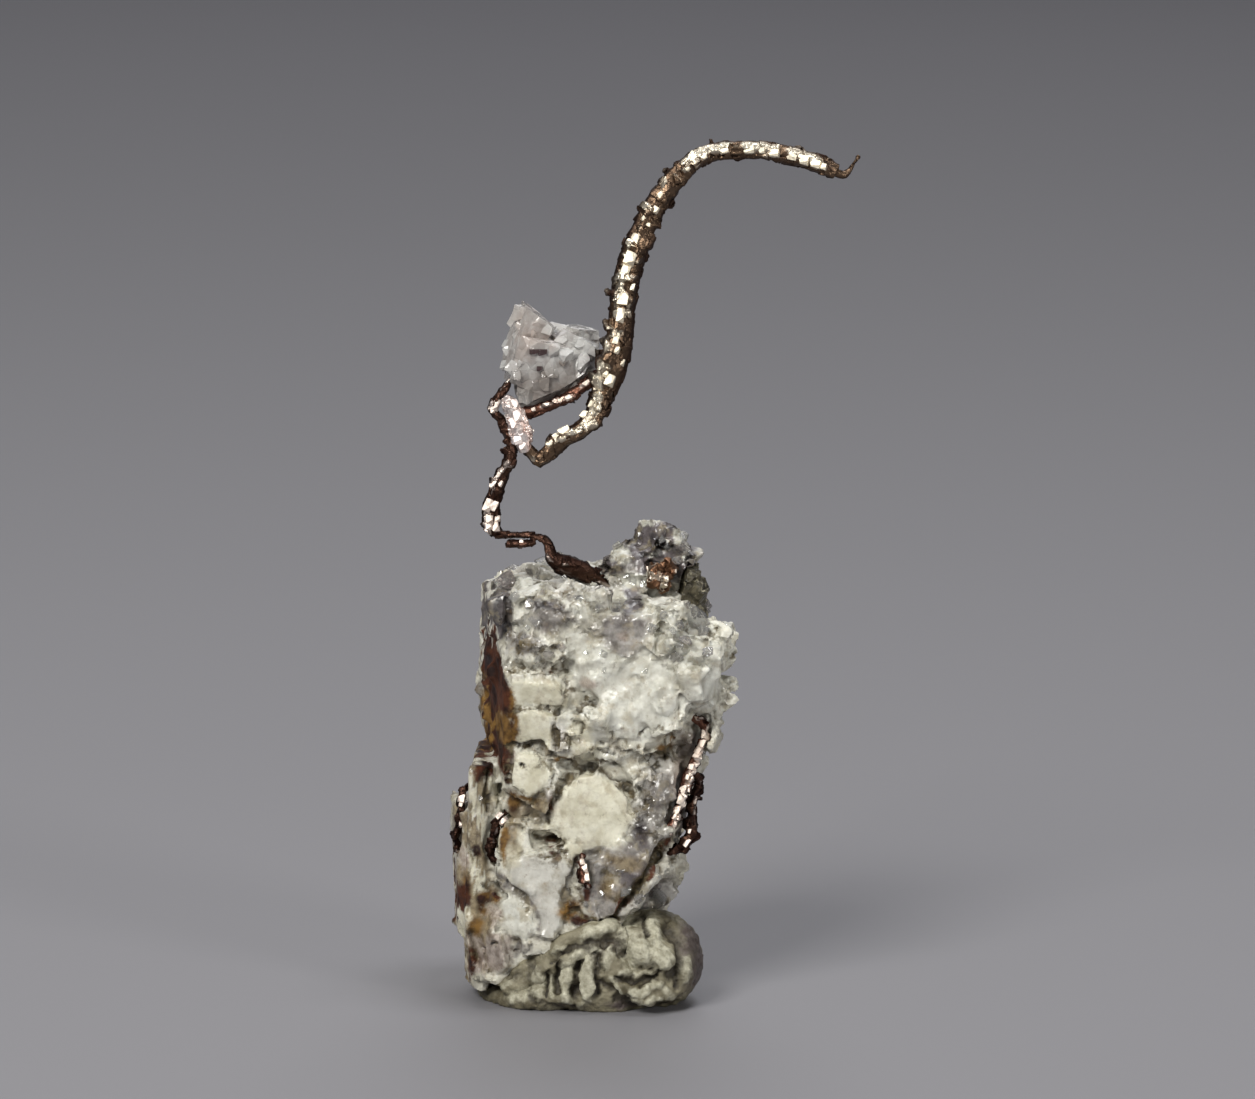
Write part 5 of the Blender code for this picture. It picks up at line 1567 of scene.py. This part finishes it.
bandLook = {
    "silver": "pinkish",
    "slot": "dark_silver",
    "triangles": 9000,
    "seed": 6,
    "flattened": (-2.25, 0.5),
    "route": (
        (-4.95, -2.25, 31.8, 0.3), (-5.1, -2.35, 32.3, 0.54), (-5.35, -2.4, 33.06, 0.64),
        (-5.65, -2.3, 33.85, 0.56), (-6.0, -2.15, 34.45, 0.46), (-6.3, -2.0, 34.75, 0.3),
    ),
    "strands": ((0, 0, 0, 1.0), (90, 12, 0.8, 0.26), (-90, 12, 0.8, 0.26)),
    "blocks": ((0.6, (-75, 75), 0.75, (0.38, 0.45, 0.32), 73, (0.1, 0.95)),),
    "bright": (
        (-5.6, 34.5, 0.22), (-5.5, 33.9, 0.24), (-5.7, 33.4, 0.2), (-5.45, 32.5, 0.22), (-5.15, 32.2, 0.2),
    ),
}
silverWire("silverBand", bandLook)

chipWireLook = {
    "silver": "copper",
    "slot": "dark_silver",
    "nodes": ["chip_wire"],
    "triangles": 8000,
    "seed": 7,
    "route": (
        (-5.5, -1.9, 33.91, 0.36), (-4.6, -1.6, 33.96, 0.38), (-3.7, -1.55, 34.31, 0.42),
        (-2.8, -1.6, 34.71, 0.44), (-2.0, -1.65, 35.26, 0.42), (-1.25, -1.8, 35.86, 0.44),
        (-0.5, -1.9, 36.46, 0.4),
    ),
    "strands": ((0, 0, 0, 0.8), (60, 40, 0.46, 0.5)),
    "blocks": ((1.2, (-120, 60), 0.55, (0.55, 0.5, 0.42), 81, (0.3, 1)),),
    "bright": ((-1.0, 36.0, 0.22), (-1.6, 35.7, 0.16), (-2.6, 34.85, 0.14), (-4.6, 34.1, 0.12)),
}
silverWire("chipWire", chipWireLook)

rightWireLook = {
    "silver": "copper",
    "slot": "dark_silver",
    "nodes": ["right_side_wire"],
    "triangles": 12000,
    "seed": 8,
    "route": (
        (4.9, -3.4, 16.75, 0.34), (5.45, -3.5, 16.35, 0.4), (5.6, -3.4, 15.6, 0.42),
        (5.3, -3.3, 14.8, 0.38), (4.95, -3.4, 14.0, 0.4), (4.65, -3.6, 13.1, 0.44), (4.4, -3.9, 12.2, 0.42),
        (4.1, -4.2, 11.3, 0.4), (3.6, -4.6, 10.4, 0.34),
    ),
    "strands": ((0, 0, 0, 0.6), (-60, 35, 0.42, 0.4)),
    "blocks": ((1.0, (-110, 30), 0.5, (0.6, 0.55, 0.5), 91, (0.05, 1)),),
    "bright": (
        (5.55, 15.95, 0.2), (5.05, 15.6, 0.15), (5.48, 15.38, 0.18), (5.3, 15.0, 0.2), (5.18, 14.66, 0.18),
        (4.88, 14.02, 0.16), (4.7, 13.45, 0.15), (4.42, 12.62, 0.24), (4.34, 12.2, 0.2), (4.14, 11.6, 0.2),
        (4.02, 11.25, 0.14), (3.6, 10.3, 0.16),
    ),
}
silverWire("rightSideWire", rightWireLook)

rightFoilLook = {
    "silver": "maroon",
    "slot": "dark_silver",
    "triangles": 9000,
    "seed": 9,
    "route": (
        (4.85, -3.3, 13.7, 0.42), (5.4, -2.9, 12.9, 0.46), (5.1, -3.1, 12.1, 0.44), (5.0, -3.4, 11.2, 0.52),
        (5.0, -3.5, 10.1, 0.58), (4.4, -3.6, 9.2, 0.48), (3.6, -3.6, 8.9, 0.36),
    ),
    "strands": ((0, 0, 0, 0.55),),
    "blocks": ((0.8, (-180, 180), 0.4, (0.55, 0.65, 0.35), 92),),
    "bright": ((4.75, 9.6, 0.16), (4.9, 10.3, 0.12)),
}
silverWire("rightSideFoil", rightFoilLook)

leftOuterLook = {
    "silver": "maroon",
    "slot": "dark_silver",
    "nodes": ["left_outer_wire"],
    "triangles": 5000,
    "seed": 10,
    "route": (
        (-7.3, -2.6, 12.6, 0.24), (-8.0, -2.8, 12.25, 0.32), (-8.2, -2.9, 11.35, 0.36),
        (-8.35, -2.9, 10.45, 0.34), (-8.5, -2.8, 9.45, 0.36), (-8.4, -2.7, 8.55, 0.24),
    ),
    "strands": ((0, 0, 0, 0.5),),
    "blocks": ((1.0, (-150, 150), 0.45, (0.65, 0.65, 0.5), 100),),
    "bright": ((-8.22, 11.7, 0.2), (-8.25, 11.4, 0.14), (-8.25, 10.16, 0.12)),
}
silverWire("leftOuterWire", leftOuterLook)

leftInnerLook = {
    "silver": "maroon",
    "slot": "dark_silver",
    "nodes": ["left_inner_wire"],
    "triangles": 5000,
    "seed": 11,
    "route": (
        (-5.5, -4.75, 11.4, 0.26), (-6.0, -4.65, 10.8, 0.34), (-6.35, -4.6, 10.0, 0.38),
        (-6.4, -4.55, 9.2, 0.4), (-6.0, -4.7, 8.3, 0.3),
    ),
    "strands": ((0, 0, 0, 0.5),),
    "blocks": ((1.0, (-150, 150), 0.45, (0.65, 0.65, 0.5), 101),),
    "bright": ((-6.0, 11.1, 0.17), (-5.75, 10.8, 0.18), (-6.1, 9.05, 0.12)),
}
silverWire("leftInnerWire", leftInnerLook)

frontTuftLook = {
    "silver": "copper",
    "slot": "dark_silver",
    "nodes": ["front_wire_tuft"],
    "triangles": 5000,
    "seed": 12,
    "route": ((-1.3, -5.75, 9.05, 0.28), (-1.1, -5.85, 8.2, 0.4), (-0.92, -5.8, 7.2, 0.3)),
    "strands": ((0, 0, 0, 0.5),),
    "blocks": ((1.0, (-150, 150), 0.45, (0.65, 0.65, 0.5), 102),),
    "bright": ((-1.05, 8.4, 0.2), (-0.95, 7.9, 0.22), (-1.2, 8.8, 0.14)),
}
silverWire("frontTuft", frontTuftLook)


# the silver knot and the dark ore crust at the top

knotLook = {
    "tones": (rgb(0.95, 0.85, 0.72), rgb(0.24, 0.13, 0.075), rgb(0.035, 0.018, 0.012), 0.45, 0.75),
    "crystals": (
        (front, 14, (1.9, 4.1), (23.6, 25.6), (0.18, 0.34), 0.4, 60),
        (left, 5, (-2.5, -1.2), (23.7, 25.4), (0.2, 0.3), 0.4, 60),
    ),
    "voxel": 0.07,
    "facetSize": 0.5,
    "facetRise": 0.2,
    # how much of its width stays, and how far it is lifted
    "narrowed": 0.84,
    "lift": 0.15,
    "drawnFrom": 21.8,
    "seed": 101,
}
crustLook = {
    "crystals": (
        (front, 16, (3.9, 6.3), (21.2, 25.2), (0.25, 0.5), 0.4, 60),
        (right, 12, (-2.4, 0.5), (21.2, 25.2), (0.25, 0.5), 0.4, 60),
    ),
    "voxel": 0.09,
    "facetSize": 0.7,
    "facetRise": 0.16,
    "narrowed": 1.0,
    "lift": 0.0,
    "drawnFrom": 21.8,
    "seed": 102,
}


def crystalLump(nodeName, name, look, material):
    lump, seed = copyOfNode(nodeName, name), look["seed"]
    joinInto(lump, crystalsOn(nodeName, look["crystals"], blockShapes, seed))
    points = pointsOf(lump.data)
    middle = points.mean(axis=0)
    spread = (look["narrowed"], 1, look["narrowed"])
    setPoints(lump.data, middle + (points - middle) * spread + (0, 0, look["lift"]))
    drawIn(lump, look["drawnFrom"])
    applyModifier(lump, "REMESH", mode="VOXEL", voxel_size=look["voxel"] * mm)
    breakIntoFacets(lump, look["facetSize"], look["facetRise"], seed)
    cell = nearestCells(pointsOf(lump.data), look["facetSize"], seed)[1][:, 0]
    storeMask(lump.data, "tone", 0.1 + 0.8 * cell)
    storeMask(lump.data, "notch", smoothStep(0.55, 0.8, cavityOf(lump, 8, 0.16)))
    finishPiece(lump, name, material, [nodeName], smooth=False)


print("knot and ore")
brassy = silverMaterial("brassySilver", *knotLook["tones"])
crystalLump("silver_knot", "silverKnot", knotLook, brassy)
crystalLump("ore_crust", "oreCrust", crustLook, oreMaterial())


# putty: kneaded folds, with a painted highlight on the crests and painted shade in the grooves

puttyLook = {
    "voxel": 0.12,
    "lumpSize": 1.0,
    "lumpRise": 0.16,
    "facetSize": 0.6,
    "facetRise": 0.1,
    # rolls at the sides and back and under the stone's front, as x, y, z and radius
    "rolls": (
        ((-0.5, 4.6, 0.9, 0.3), (0.4, 4.7, 1.7, 0.4), (1.6, 4.3, 2.1, 0.3)),
        ((-2.6, 4.2, 0.6, 0.3), (-2.0, 4.2, 1.5, 0.4), (-0.9, 3.8, 2.2, 0.3)),
        ((3.9, 0.5, 0.8, 0.3), (4.4, -0.8, 1.6, 0.4), (4.3, -2.4, 2.6, 0.3)),
        (
            (-6.0, -4.8, 1.3, 0.25), (-4.9, -5.1, 1.9, 0.42), (-3.9, -5.2, 2.6, 0.5),
            (-2.9, -5.5, 3.4, 0.55), (-2.0, -5.85, 4.05, 0.52), (-1.0, -5.85, 4.55, 0.48),
            (0.0, -5.7, 4.75, 0.45), (0.9, -5.2, 4.7, 0.4),
        ),
        (
            (-5.6, -5.2, 1.0, 0.35), (-4.6, -5.3, 1.5, 0.45), (-3.6, -5.4, 2.1, 0.5),
            (-2.7, -5.7, 2.8, 0.55), (-1.9, -5.9, 3.4, 0.5), (-1.0, -5.95, 3.9, 0.5),
            (0.0, -5.85, 4.1, 0.45), (0.9, -5.6, 4.1, 0.4),
        ),
    ),
    # crests on the front: x, z along each, half width, rise, how pale (a painted highlight), how unbroken
    "crests": (
        (((-0.87, 4.45), (-0.3, 4.75), (0.6, 4.95)), 0.32, 0.3, 0.95, 0.9),
        (((-0.45, 3.87), (-1.15, 3.6), (-1.75, 3.0), (-2.05, 2.25), (-2.0, 1.6),
            (-2.0, 0.9)), 0.36, 0.36, 0.95, 1.0),
        (((-0.75, 3.2), (-0.75, 2.2), (-0.8, 1.1)), 0.36, 0.36, 0.9, 1.0),
        (((-3.55, 2.2), (-3.5, 1.1)), 0.4, 0.3, 0.55, 1.0),
        (((-2.75, 2.0), (-2.72, 1.1)), 0.18, 0.2, 0.7, 0.8),
        (((1.4, 4.6), (1.5, 3.8), (1.8, 3.1)), 0.5, 0.4, 0.95, 1.0),
        (((2.7, 4.7), (3.0, 4.0), (3.45, 3.1)), 0.48, 0.4, 1.0, 1.0),
        (((2.2, 3.9), (2.3, 3.2)), 0.45, 0.34, 0.85, 1.0),
        (((1.2, 2.38), (2.1, 2.3), (2.8, 2.45)), 0.2, 0.26, 0.6, 0.9),
        (((1.85, 1.3), (2.55, 1.4), (3.2, 1.75)), 0.24, 0.26, 0.9, 0.9),
        (((1.7, 0.85), (2.5, 0.7), (3.3, 0.95)), 0.22, 0.2, 0.7, 0.7),
        (((0.15, 3.0), (0.6, 3.6)), 0.38, 0.26, 0.7, 0.9),
        (((0.55, 2.2), (1.15, 1.35)), 0.17, 0.2, 0.8, 0.8),
        (((4.8, 2.95), (4.82, 2.0)), 0.26, 0.24, 0.55, 0.9),
        (((-4.95, 0.7), (-4.3, 1.0)), 0.38, 0.16, 0.6, 0.9),
        (((-5.5, 1.3), (-5.0, 1.75)), 0.16, 0.16, 0.7, 0.8),
        (((-2.75, 3.5), (-2.1, 3.9)), 0.18, 0.2, 0.6, 0.8),
        (((-1.0, 0.5), (-0.7, 0.7)), 0.26, 0.1, 0.5, 0.8),
        (((3.6, 1.5), (4.0, 1.0)), 0.25, 0.14, 0.6, 0.6),
    ),
    # grooves in the same way: half width, depth, how dark (painted shade), how unbroken
    "grooves": (
        (((-1.2, 3.0), (-1.45, 2.2), (-1.42, 1.0)), 0.18, 0.5, 1.0, 1.0),
        (((-0.2, 3.4), (-0.15, 2.3), (-0.2, 1.1)), 0.2, 0.46, 0.95, 1.0),
        (((-0.9, 3.98), (0.0, 4.15), (0.9, 4.25), (1.0, 3.6)), 0.3, 0.4, 0.8, 0.8),
        (((-2.35, 2.9), (-2.5, 2.35), (-2.45, 1.2)), 0.14, 0.38, 0.9, 1.0),
        (((-3.05, 2.2), (-3.08, 1.0)), 0.16, 0.34, 0.85, 0.9),
        (((-1.95, 3.6), (-1.2, 4.0), (-0.3, 4.2)), 0.13, 0.35, 0.95, 0.9),
        (((-2.9, 2.85), (-2.4, 3.3), (-1.9, 3.9)), 0.13, 0.32, 0.9, 0.8),
        (((0.8, 2.15), (1.8, 2.0), (2.9, 2.08), (3.4, 2.55)), 0.15, 0.42, 1.0, 0.9),
        (((0.05, 1.95), (0.95, 1.25), (1.6, 0.95)), 0.16, 0.36, 0.9, 0.9),
        (((2.25, 1.8), (2.9, 1.86)), 0.1, 0.22, 0.95, 0.9),
        (((3.7, 4.8), (4.4, 3.9), (4.5, 2.9), (4.0, 2.1)), 0.24, 0.45, 0.9, 0.9),
        (((1.15, 3.6), (1.2, 3.4)), 0.2, 0.34, 1.0, 1.0),
        (((-4.0, 0.8), (-3.0, 0.4), (-2.3, 0.45), (-1.5, 0.4)), 0.2, 0.16, 0.8, 0.7),
        (((1.0, 1.0), (1.8, 0.45), (2.9, 0.3), (4.3, 0.4)), 0.25, 0.16, 0.85, 0.7),
        (((-6.4, 1.3), (-5.6, 1.8), (-4.8, 1.95)), 0.26, 0.2, 0.6, 0.9),
        (((2.4, 5.0), (2.48, 4.4)), 0.15, 0.36, 1.0, 1.0),
        (((4.3, 2.0), (4.5, 1.4)), 0.14, 0.2, 0.8, 0.9),
        (((-4.2, 3.1), (-3.8, 2.6), (-4.1, 1.9)), 0.2, 0.16, 0.6, 0.7),
    ),
    # plum painted shade, the largest on the right rim, as x, z, half width, half height
    "plumShade": (
        (5.9, 2.4, 0.9, 2.4), (5.3, 4.1, 0.8, 1.1), (0.2, 4.0, 0.9, 0.35), (-0.4, 3.5, 0.5, 0.3),
        (1.6, 0.5, 1.2, 0.3),
    ),
}


def mountingPutty():
    putty = copyOfNode("mounting_putty", "mountingPutty")
    paths = [smoothRoute(stops) for stops in puttyLook["rolls"]]
    joinInto(putty, [tubeAlong(path["centre"], path["radius"]) for path in paths])
    applyModifier(putty, "REMESH", mode="VOXEL", voxel_size=puttyLook["voxel"] * mm)
    applyModifier(putty, "SMOOTH", factor=0.5, iterations=2)
    makeLumpy(putty, puttyLook["lumpSize"], puttyLook["lumpRise"])
    points = pointsOf(putty.data)
    facing = smoothStep(-1.5, -3.0, points[:, 1])
    drawn = wobbled(points, 0.07, 0.9, seed=112)
    gaps = 0.4 + 0.6 * softNoise(points, 0.9, seed=113)
    rise, crestHighlight = drawnLines(drawn, puttyLook["crests"], gaps)
    depth, dirt = drawnLines(drawn, puttyLook["grooves"], gaps)
    setPoints(putty.data, points + normalsOf(putty.data) * ((rise - depth) * facing)[:, None])
    breakIntoFacets(putty, puttyLook["facetSize"], puttyLook["facetRise"], seed=111)
    keepInside(putty, inset=0.0)
    # pale crests are a painted highlight, and dark grooves and plum patches painted shade
    storeMask(putty.data, "crestHighlight", crestHighlight * facing * 1.1)
    storeMask(putty.data, "grooveShade", dirt * facing)
    storeMask(putty.data, "plumShade", softSpots(drawn, puttyLook["plumShade"]) * facing)
    # the cavity mask darkens the hollows: painted shade
    narrow, broad = cavityOf(putty, 14, 0.3) - 0.5, cavityOf(putty, 60, 1.0) - 0.5
    storeMask(putty.data, "cavity", 0.5 + 0.8 * narrow + 0.6 * broad)
    finishPiece(putty, "mountingPutty", puttyMaterial(), ["mounting_putty"])


print("putty")
mountingPutty()

for shape in [*blockShapes, *pointShapes, plainBlock]:
    bpy.data.objects.remove(shape)


# floor, lights and camera

studioLook = {
    "floorSize": 3.6,
    "floor": rgb(0.215, 0.211, 0.226),
    "world": rgb(0.3, 0.3, 0.33),
    "worldStrength": 0.26,
    # name, place in metres from the aim point, size, watts, colour
    "lights": (
        ("key", (-0.22, -0.38, 0.34), 0.2, 2.8, (1.0, 0.985, 0.94)),
        ("top", (0.08, 0.0, 0.45), 0.1, 0.8, (0.97, 0.98, 1.0)),
        ("fill", (0.4, -0.34, 0.14), 0.14, 0.95, (1.0, 0.985, 0.95)),
        ("softbox", (0.0, 0.88, 0.75), 0.9, 3.5, (0.98, 0.98, 1.0)),
    ),
}
cameraLook = {
    "sensorWidth": 36,
    "distance": 0.35,
    "elevation": 9.0,
    "roll": 1.35,
    "pixelsPerMm": 17.4,
    "frameWidth": 1255,
    "aim": (0.959, 0.0, 25.869),
}


def studio():
    deselectAll()
    bpy.ops.mesh.primitive_plane_add(size=studioLook["floorSize"])
    floor = bpy.context.object
    bpy.ops.object.mode_set(mode="EDIT")
    bpy.ops.mesh.subdivide(number_cuts=3)
    bpy.ops.object.mode_set(mode="OBJECT")
    floor.name = "paleFloor"
    floor.data.materials.append(floorMaterial(studioLook["floor"]))
    world = bpy.data.worlds.new("studioWorld")
    bpy.context.scene.world = world
    world.use_nodes = True
    background = world.node_tree.nodes["Background"]
    values = {"Color": studioLook["world"], "Strength": studioLook["worldStrength"]}
    setInputs(world.node_tree, background, values)
    aim = Vector(cameraLook["aim"]) * mm
    for name, place, size, watts, colour in studioLook["lights"]:
        deselectAll()
        bpy.ops.object.light_add(type="AREA", location=aim + Vector(place))
        light = bpy.context.object
        light.name = name
        light.data.size = size
        light.data.energy = watts
        light.data.color = colour
        light.rotation_euler = (-Vector(place)).to_track_quat("-Z", "Y").to_euler()


def camera():
    deselectAll()
    bpy.ops.object.camera_add()
    eye = bpy.context.object
    eye.name = "frontCamera"
    tilt = math.radians(cameraLook["elevation"])
    backward = Vector((0, -math.cos(tilt), math.sin(tilt)))
    turn = (-backward).to_track_quat("-Z", "Y").to_matrix().to_4x4()
    turn = turn @ Matrix.Rotation(math.radians(cameraLook["roll"]), 4, "Z")
    turn.translation = Vector(cameraLook["aim"]) * mm + backward * cameraLook["distance"]
    eye.matrix_world = turn
    eye.data.sensor_width = cameraLook["sensorWidth"]
    seen = cameraLook["frameWidth"] / cameraLook["pixelsPerMm"] * mm
    eye.data.lens = eye.data.sensor_width * cameraLook["distance"] / seen
    eye.data.clip_start = 0.01
    bpy.context.scene.camera = eye


print("studio")
studio()
camera()
bpy.context.scene.view_settings.view_transform = "Standard"

bpy.context.view_layer.update()
